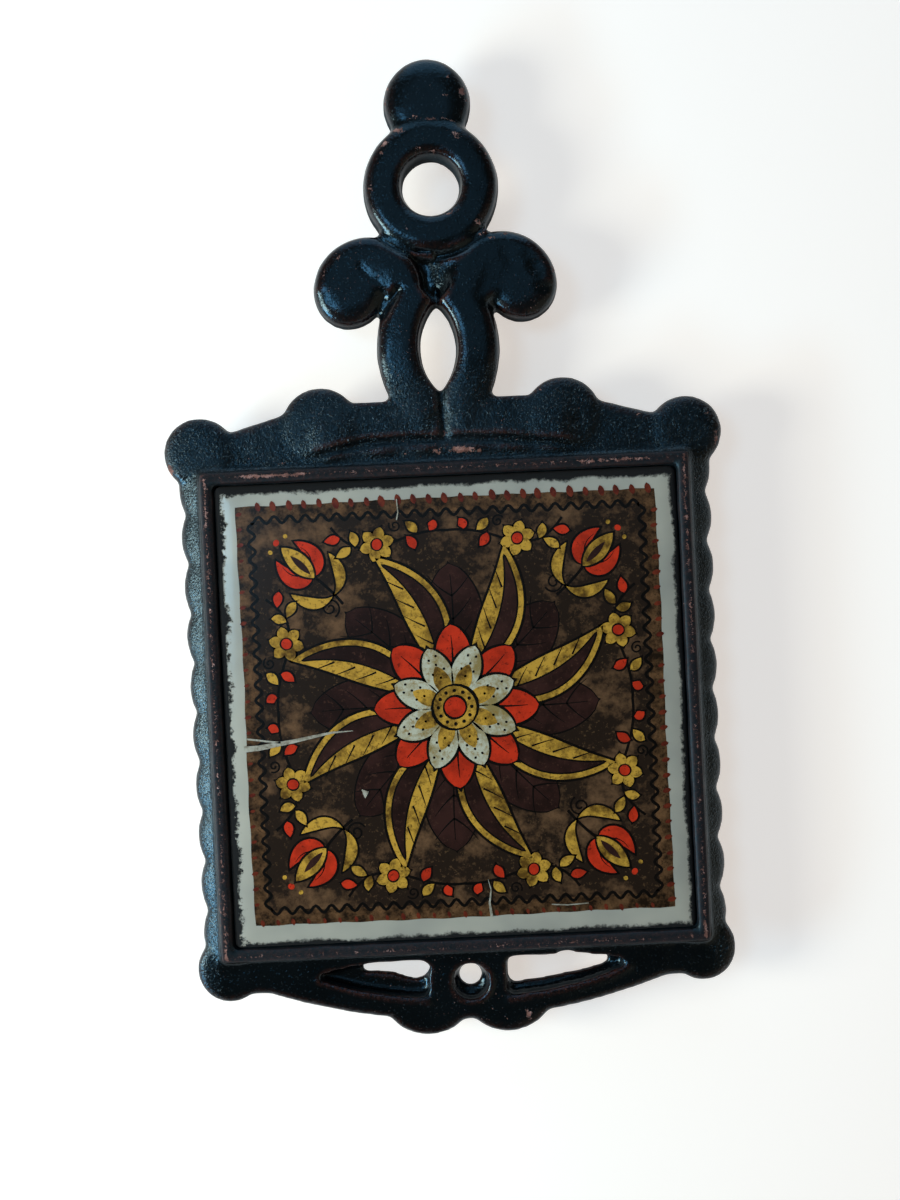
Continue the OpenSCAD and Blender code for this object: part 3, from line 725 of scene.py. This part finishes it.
gloss = add(iron, "TexNoise", where, per_metre(3), 3)
gloss = add(iron, "ValToRGB", gloss, stops=((0.35, grey(0.13)), (0.65, grey(0.19))))
gloss = add(iron, "Math", on_sand, 0.12, gloss, operation="MULTIPLY_ADD")
gloss = add(iron, "Mix", dulled, gloss, grey(1), data_type="RGBA")
gloss = add(iron, "Mix", flake, gloss, grey(0.75), data_type="RGBA")
height = add(iron, "Math", sand, on_sand, operation="MULTIPLY")
height = add(iron, "Math", flake, -0.5, height, operation="MULTIPLY_ADD")
bump = add(iron, "Bump", Height=height, Strength=0.9, Distance=0.00016)
feed(iron, shader, Base_Color=coat, Roughness=gloss, Normal=bump)
coated(casting, iron)
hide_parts("cast_frame")

# Tile
# A pressed earthenware wall tile, 108 mm square: buff biscuit with ribs across its back, a
# white glaze rolled over the face's edges, and the frame's black paint brushed a little way on
# to it all round. The face prints lie on it as thin films of ink.
TILE_HALF, TILE_LOW, TILE_TOP = 54.0, 12.0, 17.5
CORNER, CUSHION_W, CUSHION_DROP, ROLL = 1.6, 4.8, 0.45, 0.7


def lay_face(u, v):
    """The tile's face: a square with round corners, sinking to its rim and rolled over there."""
    x, y = TILE_HALF * np.sin(u * pi / 2), TILE_HALF * np.sin(v * pi / 2)
    over_x, over_y = (np.maximum(np.abs(a) - TILE_HALF + CORNER, 0) for a in (x, y))
    pull = np.maximum(over_x, over_y) / np.maximum(np.hypot(over_x, over_y), 1e-9)
    inward = np.where(np.maximum(over_x, over_y) > 0, CORNER - np.maximum(over_x, over_y),
                      TILE_HALF - np.maximum(np.abs(x), np.abs(y)))
    x = np.sign(x) * (np.abs(x) - over_x * (1 - pull))
    y = np.sign(y) * (np.abs(y) - over_y * (1 - pull))
    sunk = CUSHION_DROP * (1 - np.minimum(inward / CUSHION_W, 1)) ** 2
    return x, y, TILE_TOP - sunk - ROLL * (1 - rolled(1 - np.minimum(inward / ROLL, 1), 2))


tile = slab(64, 64, lay_face, TILE_LOW)
tile.name = tile.data.name = "glazed_tile"
GROOVES, GROOVE_W, GROOVE_DEEP, OVERRUN = 8, 3.0, 0.8, 2
groove_parts = []
for i in range(GROOVES):
    def lay_groove(u, v, y0=(i + 0.5) * 2 * TILE_HALF / GROOVES - TILE_HALF):
        roof = TILE_LOW + GROOVE_DEEP * np.minimum(1, 2.5 * (1 - np.abs(u)))
        return v * (TILE_HALF + OVERRUN), y0 + u * GROOVE_W / 2, roof
    groove_parts.append(slab(10, 2, lay_groove, TILE_LOW - 1))
cut_with(tile, joined(groove_parts, "grooves"))
smooth_shaded(tile, 35)
settle(tile)

# Glazed earthenware: a clear gloss over white slip, and buff biscuit below its rim. The frame's
# paint on its edge is dull and ragged, most of all down the left. The ramps of the distances out
# from the middle read tenths of a metre.
PAINT_FROM, PAINT_TO, RIM_FROM, RIM_TO = 52.25, 52.4, 52.9, 53.1
SLOP_FROM, SLOP_TO, SLOP = 48, 51, 1.3
FRAY, SWAY = 0.0024, 0.0022
GLAZE_FROM, GLAZE_TO, GLAZE_RAMP = 16.0, 16.3, 20
PAINT_SHIFT = (-0.0003, PLAN_MID_Y / 1000 + 0.0006, 0)
glazed, shader = new_material("white_glaze_on_earthenware", IOR=1.5)
where = add(glazed, "TexCoord", output="Object")
axes = add(glazed, "SeparateXYZ", add(glazed, "Mapping", where, PAINT_SHIFT)).node.outputs
across = add(glazed, "Math", axes["X"], operation="ABSOLUTE")
along = add(glazed, "Math", axes["Y"], operation="ABSOLUTE")
edge = add(glazed, "Math", across, along, operation="MAXIMUM")
fray = add(glazed, "TexNoise", where, per_metre(0.7), 4, 0.75)
fray = add(glazed, "Math", fray, 0.5, operation="SUBTRACT")
fray = add(glazed, "Math", fray, FRAY, operation="MULTIPLY")
sway = add(glazed, "TexNoise", where, per_metre(4), 2)
sway = add(glazed, "Math", sway, 0.5, operation="SUBTRACT")
ragged = add(glazed, "Math", sway, SWAY, fray, operation="MULTIPLY_ADD")
slopped = add(glazed, "Math", axes["X"], -10, operation="MULTIPLY")
slopped = add(glazed, "ValToRGB", slopped, stops=((SLOP_FROM / 100, grey(0)), (SLOP_TO / 100, grey(SLOP))))
slopped = add(glazed, "Math", slopped, 1, operation="ADD")
ragged = add(glazed, "Math", ragged, slopped, edge, operation="MULTIPLY_ADD")
painted = add(glazed, "Math", ragged, 10, operation="MULTIPLY")
painted = add(glazed, "ValToRGB", painted, stops=((PAINT_FROM / 100, grey(0)), (PAINT_TO / 100, grey(1))))
rim = add(glazed, "Math", edge, 10, operation="MULTIPLY")
rim = add(glazed, "ValToRGB", rim, stops=((RIM_FROM / 100, grey(0)), (RIM_TO / 100, grey(1))))
painted = add(glazed, "Math", painted, rim, operation="MAXIMUM")

slip = add(glazed, "TexNoise", where, per_metre(7), 2)
slip = add(glazed, "ValToRGB", slip, stops=((0.3, linear("#a4a298")), (0.7, linear("#bab6a8"))))
biscuit = add(glazed, "TexNoise", where, per_metre(1.5), 4, 0.6)
biscuit = add(glazed, "ValToRGB", biscuit, stops=((0.3, linear("#b39a78")), (0.7, linear("#cdb898"))))
high = add(glazed, "Math", axes["Z"], 1000 / GLAZE_RAMP, operation="MULTIPLY")
high = add(glazed, "ValToRGB", high, stops=(
    (GLAZE_FROM / GLAZE_RAMP, grey(0)), (GLAZE_TO / GLAZE_RAMP, grey(1))))
body = add(glazed, "Mix", high, biscuit, slip, data_type="RGBA")
body = add(glazed, "Mix", painted, body, linear("#050608"), data_type="RGBA")
gloss = add(glazed, "Mix", high, grey(0.8), grey(0.2), data_type="RGBA")
gloss = add(glazed, "Mix", painted, gloss, grey(1), data_type="RGBA")
brushed = add(glazed, "Math", painted, 0.12, operation="ADD")
height = add(glazed, "TexNoise", where, per_metre(0.8), 3, 0.6)
height = add(glazed, "Math", brushed, height, operation="MULTIPLY")
bump = add(glazed, "Bump", Height=height, Strength=0.4, Distance=0.00012)
feed(glazed, shader, Base_Color=body, Roughness=gloss, Normal=bump)
coated(tile, glazed)
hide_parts("tile")

# Print on the tile
# A silk-screened folk design in eight inks, fired on: a brown ground in a tan strip with ticks
# and a zigzag line, and a rosette of leaves and petals with a tulip in each corner. Each ink is
# one film of flat shapes; the inks lie on each other in steps too thin to see.
INK_STEP, INK_FOOT = 0.012, TILE_TOP - 0.04
INKS = ("tan", "ground", "black", "tick", "maroon", "ochre", "red", "cream", "bare_glaze")
inks = {name: [] for name in INKS}
shaky = np.random.default_rng(11)


def ink_top(level):
    return TILE_TOP + INK_STEP * (level + 1)


def bowed(points, steps):
    """A smooth line through its first and last point, drawn towards the middle one."""
    (x0, y0), (x1, y1), (x2, y2) = points
    t = np.linspace(0, 1, steps)
    return np.stack([(1 - t) ** 2 * x0 + 2 * t * (1 - t) * x1 + t * t * x2,
                     (1 - t) ** 2 * y0 + 2 * t * (1 - t) * y1 + t * t * y2], 1)


def stroke(ink, line, width, level, closed=False):
    """A flat film along a line of points; width says how wide it is at each part of it."""
    line = np.asarray(line, float)
    if closed:
        ahead, behind = np.roll(line[:-1], -1, 0), np.roll(line[:-1], 1, 0)
        run = ahead - behind
        run = np.vstack([run, run[:1]])
    else:
        run = np.gradient(line, axis=0)
    run /= np.maximum(np.hypot(run[:, 0], run[:, 1]), 1e-9)[:, None]
    part = np.linspace(0, 1, len(line))
    wide = width(part) if callable(width) else np.full(len(part), width)

    def lay(u, v):
        k = np.clip(np.rint((v + 1) / 2 * (len(line) - 1)).astype(int), 0, len(line) - 1)
        side = u * wide[k] / 2
        return line[k, 0] - run[k, 1] * side, line[k, 1] + run[k, 0] * side, ink_top(level) + 0 * u
    piece = slab(1, len(line) - 1, lay, INK_FOOT, closed)
    inks[ink].append(piece)
    return piece


def leaf(ink, points, width, level, line=0.6, belly=1.0, blunt=0.8, steps=22):
    """A leaf or petal with its black outline: belly moves its widest place, blunt rounds it."""
    path = bowed(points, steps)

    def profile(t):
        return width * np.maximum(np.sin(pi * np.clip(t, 0, 1) ** belly), 0) ** blunt
    made = [stroke(ink, path, lambda t: np.maximum(profile(t), 0.02), level + 1)]
    if line:
        start, end = path[0] - path[1], path[-1] - path[-2]
        first = path[:1] + start / hypot(*start) * line * 1.5
        last = path[-1:] + end / hypot(*end) * line * 1.5
        part = np.concatenate([[0], np.linspace(0, 1, steps), [1]])

        def outline(t):
            return np.where((t > 0) & (t < 1), profile(part) + 2 * line, 0.05)
        made.append(stroke("black", np.vstack([first, path, last]), outline, level))
    return made


def vein(points, wide, tip, level, steps=8):
    """A thin black line that tapers towards its end."""
    return stroke("black", bowed(points, steps), lambda t: wide * (1 - t) + tip, level)


def dot(ink, x, y, r, level):
    """A round spot, a little uneven."""
    wobble, phase = shaky.uniform(-0.08, 0.08), shaky.uniform(0, 6)

    def lay(u, v):
        angle = pi * v
        grow = r * (u + 1) / 2 * (1 + wobble * np.sin(2 * angle + phase))
        return x + grow * np.cos(angle), y + grow * np.sin(angle), ink_top(level) + 0 * u
    piece = slab(1, 20, lay, INK_FOOT, closed=True)
    inks[ink].append(piece)
    return piece


def spiral(x, y, r, turns, start, level, width=0.45):
    t = np.linspace(0, 1, int(16 * turns) + 4)
    angle, grow = np.radians(start) + 2 * pi * turns * t, r * (1 - 0.85 * t)
    return stroke("black", np.stack([x + grow * np.cos(angle), y + grow * np.sin(angle)], 1), width, level)


def turn_by(angle, dx=0.0, dy=0.0, size=1.0):
    c, s = cos(radians(angle)) * size, sin(radians(angle)) * size
    return lambda x, y: (x * c - y * s + dx, x * s + y * c + dy)


def repeated(motif, moves, slip=0.0):
    """Puts a copy of a drawn motif, each shape with its own mesh, wherever a move takes it."""
    home = {piece: name for name, pieces in inks.items() for piece in pieces if piece in motif}
    for move in moves:
        slip_x, slip_y = shaky.uniform(-slip, slip, 2)
        for piece, name in home.items():
            twin = piece.copy()
            twin.data = piece.data.copy()
            bpy.context.collection.objects.link(twin)
            reshape(twin, lambda a, b, c: (*move(a + slip_x, b + slip_y), c))
            inks[name].append(twin)
    for piece, name in home.items():
        inks[name].remove(piece)
        bpy.data.objects.remove(piece)


# Ground and border
def lay_sheet(half, level):
    def lay(u, v):
        ripple = 0.12 * np.sin(u * 31 + v * 5) + 0.1 * np.sin(v * 27 - u * 4)
        x = u * half + ripple * (np.abs(u) > 0.99)
        return x, v * half + ripple * (np.abs(v) > 0.99), ink_top(level) + 0 * u
    return lay


ZIGZAG, ZIG_PITCH, ZIG_DEEP, TICKS, TAN_HALF = 45.6, 3.648, 0.8, 27, 49
TICK_ROWS = ((48.9, 1.3), (48.3, 0.75), (48.3, 0.8), (48.4, 0.95))  # distance out, size
for ink, half, level in (("tan", TAN_HALF, 0), ("ground", ZIGZAG, 1)):
    inks[ink].append(slab(60, 60, lay_sheet(half, level), INK_FOOT))
wave = np.arange(0, 2 * ZIGZAG - 0.01, ZIG_PITCH / 8)
side = [(-ZIGZAG + s, ZIGZAG - ZIG_DEEP * cos(2 * pi * s / ZIG_PITCH)) for s in wave]
zigzag = side + [(b, -a) for a, b in side] + [(-a, -b) for a, b in side] + [(-b, a) for a, b in side]
stroke("black", zigzag + zigzag[:1], 0.72, 2, closed=True)
tick = leaf("tick", ((0.2, -0.95), (-0.1, 0), (-0.3, 1.05)), 1.15, 2, line=0, blunt=0.6, steps=8)
tick_moves = []
for quarter, (out, size) in enumerate(TICK_ROWS):
    spin = turn_by(90 * quarter)
    for k in range(1, TICKS):
        along, grow = -ZIGZAG - 1.9 + k * ZIG_PITCH, size * shaky.uniform(0.8, 1.1)
        tick_moves.append(lambda x, y, along=along, out=out, spin=spin, grow=grow:
                          spin(grow * x + along, grow * y + out))
repeated(tick, tick_moves, 0.15)

# Rosette: broad dark petals, pinwheel leaves with one half shaded, red petals, cream petals, eye
EIGHTH, HALF_STEP = 45, 22.5


def all_round(shift=0.0):
    """Eight places round the middle, none quite even."""
    return [turn_by(EIGHTH * k + shift + shaky.uniform(-2, 2)) for k in range(8)]


petal = leaf("maroon", ((0, 8), (1.5, 21), (0, 33.5)), 13.4, 3, line=0.4, blunt=0.6)
petal.append(vein(((0, 10), (1, 20), (0.3, 31)), 0.5, 0.15, 5, 14))
for lean in (-1, 1):
    for start in (15, 20.5, 26):
        petal.append(vein(((0.5, start), (lean * 3, start + 2), (lean * 5, start + 5)), 0.36, 0.1, 5))
repeated(petal, all_round())
flame = leaf("ochre", ((0, 8), (7.5, 24), (-1.5, 39.5)), 9.6, 6, line=0.6, belly=0.9, blunt=0.85)
flame += leaf("maroon", ((1.4, 11), (9, 24), (-0.5, 37)), 3.6, 8, line=0.4, belly=0.9, blunt=0.9)
for start in (15, 20, 25, 30):
    lean = (start - 15) / 15
    rib = ((2.4 - 1.1 * lean, start), (0.6 - lean, start + 2), (-0.8 - 1.4 * lean, start + 4.2))
    flame.append(vein(rib, 0.36, 0.1, 8))
repeated(flame, all_round(HALF_STEP))
red_petal = leaf("red", ((0, 7), (0.6, 13), (0, 19.5)), 8, 11, line=0.75, blunt=0.6)
red_petal.append(vein(((0, 9), (0.3, 13), (0, 17)), 0.5, 0.12, 13))
repeated(red_petal, [turn_by(EIGHTH * k + shaky.uniform(-2, 2), size=shaky.uniform(0.96, 1.03))
                     for k in range(8)])
cream_petal = leaf("cream", ((0, 3), (-0.4, 9), (0, 15)), 6.6, 14, line=0.65, blunt=0.62)
cream_petal += leaf("ochre", ((0, 3), (-0.2, 6.5), (0, 10.5)), 3.8, 16, line=0, blunt=0.7)
SPOTS, SPOT_R = ((-1.4, 9), (0.2, 10.8), (1.5, 9.2), (-0.9, 12.4), (1, 12.7), (0, 7.6)), 0.3
for spot_x, spot_y in SPOTS:
    cream_petal.append(dot("black", spot_x, spot_y, SPOT_R, 17))
repeated(cream_petal, all_round(HALF_STEP))
for ink, r, level in (("black", 5.6, 18), ("ochre", 5, 19), ("black", 2.9, 20), ("red", 2.4, 21)):
    dot(ink, 0, 0, r, level)
seed_dot = [dot("black", 0, 3.9, 0.42, 20)]
repeated(seed_dot, [turn_by(30 * k) for k in range(12)])

# Corners: a tulip on a stem with two leaves
TULIP_OUT, TULIP_SIZE = 45, 0.86
tulip = [stroke("black", bowed(((0, -11), (0.8, -5), (0, 1)), 10), 0.75, 3)]
for lean in (-1, 1):
    tulip += leaf("ochre", ((lean * 0.4, -7.5), (lean * 6.5, -7), (lean * 7.6, 1.2)), 3, 3,
                  line=0.55, belly=1.2)
    tulip += leaf("red", ((lean * 0.3, 0), (lean * 6.4, 2.5), (lean * 3.6, 10.2)), 4.6, 5,
                  line=0.65, belly=0.8)
    tulip.append(vein(((lean * 1.2, 2), (lean * 4.6, 4), (lean * 3.6, 8)), 0.4, 0.1, 7))
tulip += leaf("ochre", ((0, -0.4), (0.2, 5), (0, 11.6)), 5, 8, line=0.65, blunt=0.75)
tulip += leaf("maroon", ((0, 1), (0.1, 4.5), (0, 8.4)), 1.8, 10, line=0)
tulip += [dot("red", 0, 13.6, 0.85, 3), dot("ochre", -3, 13, 0.6, 3), dot("ochre", 3, 13, 0.6, 3)]
tulip_moves = []
for k in range(4):
    corner = radians(90 * k + 45)
    tulip_moves.append(turn_by(90 * k - 45, TULIP_OUT * cos(corner), TULIP_OUT * sin(corner), TULIP_SIZE))
repeated(tulip, tulip_moves, 0.25)

# Sides: a daisy either side of the middle on a waving vine with small leaves, and curls between
VINE = (((-27, 43.2), (-22, 36), (-14, 38.6)), ((-14, 38.6), (-6, 42), (0, 41.4)),
        ((0, 41.4), (6, 42), (14, 38.6)), ((14, 38.6), (22, 36), (27, 43.2)))
VINE_LEAVES = ((7, 41.2, 9.6, 43.8, "ochre"), (9.4, 40.4, 7.6, 37.4, "red"), (4, 41.6, 3, 44, "red"),
               (22.6, 38.4, 26, 36.2, "ochre"), (25, 40.6, 28.6, 40, "red"),
               (21.5, 38.6, 22.4, 42, "ochre"))  # from x, y to x, y
DAISY_X, DAISY_Y, DAISY_PETALS = 16.4, 38.8, 6
vine_line = np.vstack([bowed(VINE[0], 12)] + [bowed(part, 12)[1:] for part in VINE[1:]])
vine = [stroke("black", vine_line, 0.6, 3)]
for lean in (-1, 1):
    for x0, y0, x1, y1, ink in VINE_LEAVES:
        belly = (lean * (x0 + x1) / 2 + 0.6, (y0 + y1) / 2)
        vine += leaf(ink, ((lean * x0, y0), belly, (lean * x1, y1)), 2.1, 4, line=0.5, steps=10)
    vine.append(spiral(lean * 12, 43, 1.5, 1.4, 90 - lean * 60, 3, 0.4))
    for k in range(DAISY_PETALS):
        turn = radians(60 * k + 15)
        ray = [(lean * DAISY_X + r * cos(turn + bend), DAISY_Y + r * sin(turn + bend))
               for r, bend in ((1, 0), (2.4, 0.1), (4.1, 0))]
        vine += leaf("ochre", ray, 2.6, 6, line=0.45, blunt=0.6, steps=10)
    vine += [dot("black", lean * DAISY_X, DAISY_Y, 1.55, 8), dot("red", lean * DAISY_X, DAISY_Y, 1.2, 9)]
repeated(vine, [turn_by(90 * k) for k in range(4)], 0.2)
curl = [spiral(0, 37.2, 2.4, 1.6, 250, 3, 0.42)]
repeated(curl, [turn_by(EIGHTH * k + 4) for k in range(1, 8, 2)])

# Damage: a long scratch from the left edge and short ones, down to the bare glaze
SCRATCH_LEVEL = 22
SCRATCHES = (  # line, width
    (((-49.6, -7.6), (-46, -7.4), (-42, -6.8), (-38, -6.2), (-33.5, -5.4), (-29, -4.6), (-24, -4.4)),
     lambda t: 1.25 * (1 - t) ** 0.7 + 0.12),
    (((-48.8, -5.2), (-44.5, -5.9), (-41, -6.4)), 0.4),
    (((6.3, -49.2), (5.9, -46), (6.4, -43), (5.8, -40.5)), lambda t: 0.55 * (1 - t) + 0.08),
    (((-22.6, -18.2), (-21.7, -19), (-21.9, -20.2)), lambda t: 1.3 * np.sin(pi * t) + 0.15),
    (((20.4, -47), (24, -47.3), (29, -47.1)), 0.22),
    (((-11.4, 49.1), (-11.2, 46), (-11.6, 44.2)), 0.25),
)
for line, width in SCRATCHES:
    stroke("bare_glaze", line, width, SCRATCH_LEVEL)


# Ceramic inks: matter than the glaze, screened unevenly, mottled where they have thinned
def ink_material(name, thin, full, size, roughness=0.24, speckle=None, amount=0.5, spread=(0.38, 0.58)):
    ink, shader = new_material(name, IOR=1.45, Specular_IOR_Level=0.35, Roughness=roughness)
    where = add(ink, "TexCoord", output="Object")
    body = add(ink, "TexNoise", where, per_metre(size), 5, 0.68)
    body = add(ink, "ValToRGB", body, stops=((spread[0], linear(thin)), (spread[1], linear(full))))
    if speckle:
        spots = add(ink, "TexNoise", where, per_metre(0.45), 3, 0.7)
        spots = add(ink, "ValToRGB", spots, stops=((0.60 - amount * 0.1, grey(0)), (0.66, grey(1))))
        spots = add(ink, "Math", spots, 0.7, operation="MULTIPLY")
        body = add(ink, "Mix", spots, body, linear(speckle), data_type="RGBA")
    height = add(ink, "TexNoise", where, per_metre(0.6), 2)
    bump = add(ink, "Bump", Height=height, Strength=0.12, Distance=0.00004)
    feed(ink, shader, Base_Color=body, Normal=bump)
    return ink


ink_finishes = {
    "tan": ink_material("tan_ink", "#20150c", "#745236", 2.2, speckle="#1c120a", spread=(0.4, 0.66)),
    "ground": ink_material("brown_ink", "#6e5038", "#261b14", 5,
                           speckle="#5e4630", amount=0, spread=(0.34, 0.5)),
    "black": ink_material("black_ink", "#100c0a", "#080706", 3),
    "tick": ink_material("rust_ink", "#74301e", "#541e16", 1.2),
    "maroon": ink_material("maroon_ink", "#38201c", "#221310", 6, speckle="#4a3026", amount=0.1),
    "ochre": ink_material("ochre_ink", "#5e4218", "#cc9c3c", 3.4,
                          speckle="#4e3818", amount=0.7, spread=(0.36, 0.54)),
    "red": ink_material("red_ink", "#a82a16", "#d2361c", 3, speckle="#5e1a10", amount=0.1),
    "cream": ink_material("cream_ink", "#927f50", "#c4c2ac", 2.6, speckle="#94743c", amount=0.7),
    "bare_glaze": ink_material("worn_glaze", "#8a8272", "#b4b0a2", 1, roughness=0.4, speckle="#5e4c3a"),
}
for name, pieces in inks.items():
    film = joined(pieces, "print_" + name)
    settle(film)
    coated(film, ink_finishes[name])

# Adhesive
# Tile mastic buttered round the ledge. The tile pressed it out unevenly, and some shows in the
# window under the tile. Tan, hard and dull.
MASTIC_OUT, MASTIC_IN, MASTIC_CORNER = 52.6, 45.2, 1.36


def lay_mastic(u, v):
    angle = pi * v
    reach = np.minimum(1 / np.maximum(np.abs(np.cos(angle)), np.abs(np.sin(angle))), MASTIC_CORNER)
    squeeze = np.sin(7 * angle + 1) + 0.8 * np.sin(17 * angle) + 0.5 * np.sin(31 * angle + 2)
    out = (MASTIC_OUT * (1 + u) / 2 + (MASTIC_IN - squeeze) * (1 - u) / 2) * reach
    return out * np.cos(angle), out * np.sin(angle), TILE_LOW - 0.02 + 0 * u


mastic = slab(4, 220, lay_mastic, LEDGE_TOP, closed=True)
mastic.name = mastic.data.name = "tile_mastic"
smooth_shaded(mastic, 50)
settle(mastic)
tan_mastic, shader = new_material("hardened_tile_mastic", Roughness=0.75, IOR=1.5)
where = add(tan_mastic, "TexCoord", output="Object")
body = add(tan_mastic, "TexNoise", where, per_metre(2.5), 4)
body = add(tan_mastic, "ValToRGB", body, stops=((0.35, linear("#a08a66")), (0.65, linear("#c3ad86"))))
height = add(tan_mastic, "TexNoise", where, per_metre(1.2), 3)
bump = add(tan_mastic, "Bump", Height=height, Strength=0.6, Distance=0.0002)
feed(tan_mastic, shader, Base_Color=body, Normal=bump)
coated(mastic, tan_mastic)
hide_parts("adhesive_bed")

# Foot caps
# Four moulded rubber caps pushed over the cast spigots: a chamfered lower edge, two grooves
# round the wall, a ring-shaped tread underneath and a socket for the spigot.
CAP_R, CHAMFER, TREAD_OUT, TREAD_W, TREAD_DEEP, SOCKET_WALL, SOCKET_DEEP = 5.0, 0.5, 1.2, 0.9, 0.5, 1.1, 2.6
CAP_WALL = ((0.15, 0.1), (0.45, 0), (0.5, 0), (0.12, 0.28), (0.3, 0.28), (0.12, 0), (0.5, 0),
            (0.12, 0.28), (0.3, 0.28), (0.12, 0), (1, 0), (0.32, 0.3))  # rise, and how far drawn in


def foot_cap(name, x, y):
    bpy.ops.object.select_all(action="DESELECT")
    bpy.ops.mesh.primitive_cylinder_add(
        vertices=64, radius=CAP_R - CHAMFER, depth=CHAMFER, location=(x, y, CHAMFER / 2))
    cap = bpy.context.object
    start_edit()
    choose("FACE", lambda middle, normal: normal.z < -0.9)
    bpy.ops.mesh.inset(thickness=TREAD_OUT, depth=0)
    bpy.ops.mesh.inset(thickness=TREAD_W, depth=0)
    bpy.ops.transform.translate(value=(0, 0, TREAD_DEEP))
    choose("FACE", lambda middle, normal: normal.z > 0.9)
    for rise, inside in CAP_WALL:
        bpy.ops.mesh.extrude_region_move(TRANSFORM_OT_translate={"value": (0, 0, rise)})
        here = [v.co for v in bmesh.from_edit_mesh(cap.data).verts if v.select]
        grow = (CAP_R - inside) / max(hypot(v.x, v.y) for v in here)
        bpy.ops.transform.resize(value=(grow, grow, 1), center_override=(x, y, 0))
    bpy.ops.mesh.inset(thickness=SOCKET_WALL, depth=0)
    bpy.ops.transform.translate(value=(0, 0, -SOCKET_DEEP))
    end_edit()
    cap.name = cap.data.name = name
    smooth_shaded(cap, 35)
    settle(cap)
    coated(cap, rubber)
    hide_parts(name.replace("rubber", "foot"))


# Moulded black rubber, matt, with dust that clings to it in patches
rubber, shader = new_material("moulded_black_rubber", IOR=1.52, Roughness=0.72)
where = add(rubber, "TexCoord", output="Object")
dust = add(rubber, "TexNoise", where, per_metre(1.8), 4, 0.65)
dust = add(rubber, "ValToRGB", dust, stops=((0.4, linear("#1b1a19")), (0.7, linear("#3a3733"))))
height = add(rubber, "TexNoise", where, per_metre(0.3), 2)
bump = add(rubber, "Bump", Height=height, Strength=0.3, Distance=0.00005)
feed(rubber, shader, Base_Color=dust, Normal=bump)
for end, y in (("front", -FOOT), ("back", FOOT)):
    for hand, x in (("left", -FOOT), ("right", FOOT)):
        foot_cap(f"rubber_cap_{end}_{hand}", x, y)

# Floor, light and camera
# A plain pale table top with a pale backdrop far round it. A window low on the left gives the
# main light, with cold light from the sky, ceiling and door and a large warm fill from the
# right. The camera looks straight down from about 300 mm, and the trivet lies turned a little.
TABLE, BACKDROP_R, BACKDROP_H = 6, 2.9, 1.1
bpy.ops.object.select_all(action="DESELECT")
bpy.ops.mesh.primitive_grid_add(x_subdivisions=2, y_subdivisions=2, size=TABLE, location=(0, 0, 0))
floor = bpy.context.object
floor.name = "floor"
table, shader = new_material("pale_table_top", Base_Color=linear("#d6d6d4"),
                             Emission_Color=linear("#fff7f0"), Roughness=0.6)
rays = add(table, "LightPath").node.outputs
seen = add(table, "Math", rays["Is Camera Ray"], rays["Is Glossy Ray"], operation="ADD")
seen = add(table, "Math", seen, rays["Is Transmission Ray"], operation="ADD", use_clamp=True)
feed(table, shader, Emission_Strength=add(table, "Math", seen, 0.6, operation="MULTIPLY"))
floor.data.materials.append(table)
bpy.ops.mesh.primitive_cylinder_add(
    vertices=96, radius=BACKDROP_R, depth=BACKDROP_H, end_fill_type="NOTHING",
    location=(0, 0, BACKDROP_H / 2))
backdrop = bpy.context.object
backdrop.name = "backdrop"
backdrop.data.materials.append(table)

LAMPS = (  # name, place, size, power, colour
    ("window_light", (-0.45, -0.06, 0.28), (0.2, 0.2), 2.6, "#e8e6d8"),
    ("low_window_light", (-0.52, -0.25, 0.25), (0.26, 0.08), 2.2, "#94ccea"),
    ("sky_light", (-0.42, 0.09, 0.93), (0.3, 0.3), 1.8, "#98d0f4"),
    ("ceiling_light", (0, 0.33, 0.95), (0.6, 0.6), 0.35, "#a4d4f4"),
    ("door_light", (0, 0.62, 0.26), (0.6, 0.6), 1.2, "#a4d4f4"),
    ("room_fill", (1, -0.7, 0.55), (2, 2), 3.4, "#ffd0a8"),
)
AIM = Vector((0, 0, 0))
for name, place, size, power, colour in LAMPS:
    bpy.ops.object.light_add(type="AREA", location=place)
    lamp = bpy.context.object
    lamp.name = name
    lamp.data.shape, lamp.data.energy = "ELLIPSE", power
    lamp.data.size, lamp.data.size_y = size
    lamp.data.color = linear(colour)[:3]
    lamp.rotation_euler = (AIM - Vector(place)).to_track_quat("-Z", "Y").to_euler()
world = bpy.data.worlds.new("pale_room")
bpy.context.scene.world = world
world.use_nodes = True
world.node_tree.nodes["Background"].inputs["Color"].default_value = linear("#f8e8d0")
world.node_tree.nodes["Background"].inputs["Strength"].default_value = 0.06
bpy.context.scene.view_settings.view_transform = "Standard"

CAMERA_Y, CAMERA_Z, TURN = 25, 0.3175, 2.7
VIEW_HALF, VIEW_FAR = 0.14, 0.3
bpy.ops.object.camera_add(
    location=(0, (CAMERA_Y - PLAN_MID_Y) / 1000, CAMERA_Z), rotation=(0, 0, radians(-TURN)))
camera = bpy.context.object
camera.data.sensor_fit = "VERTICAL"
camera.data.angle_y = 2 * atan2(VIEW_HALF, VIEW_FAR)
bpy.context.scene.camera = camera
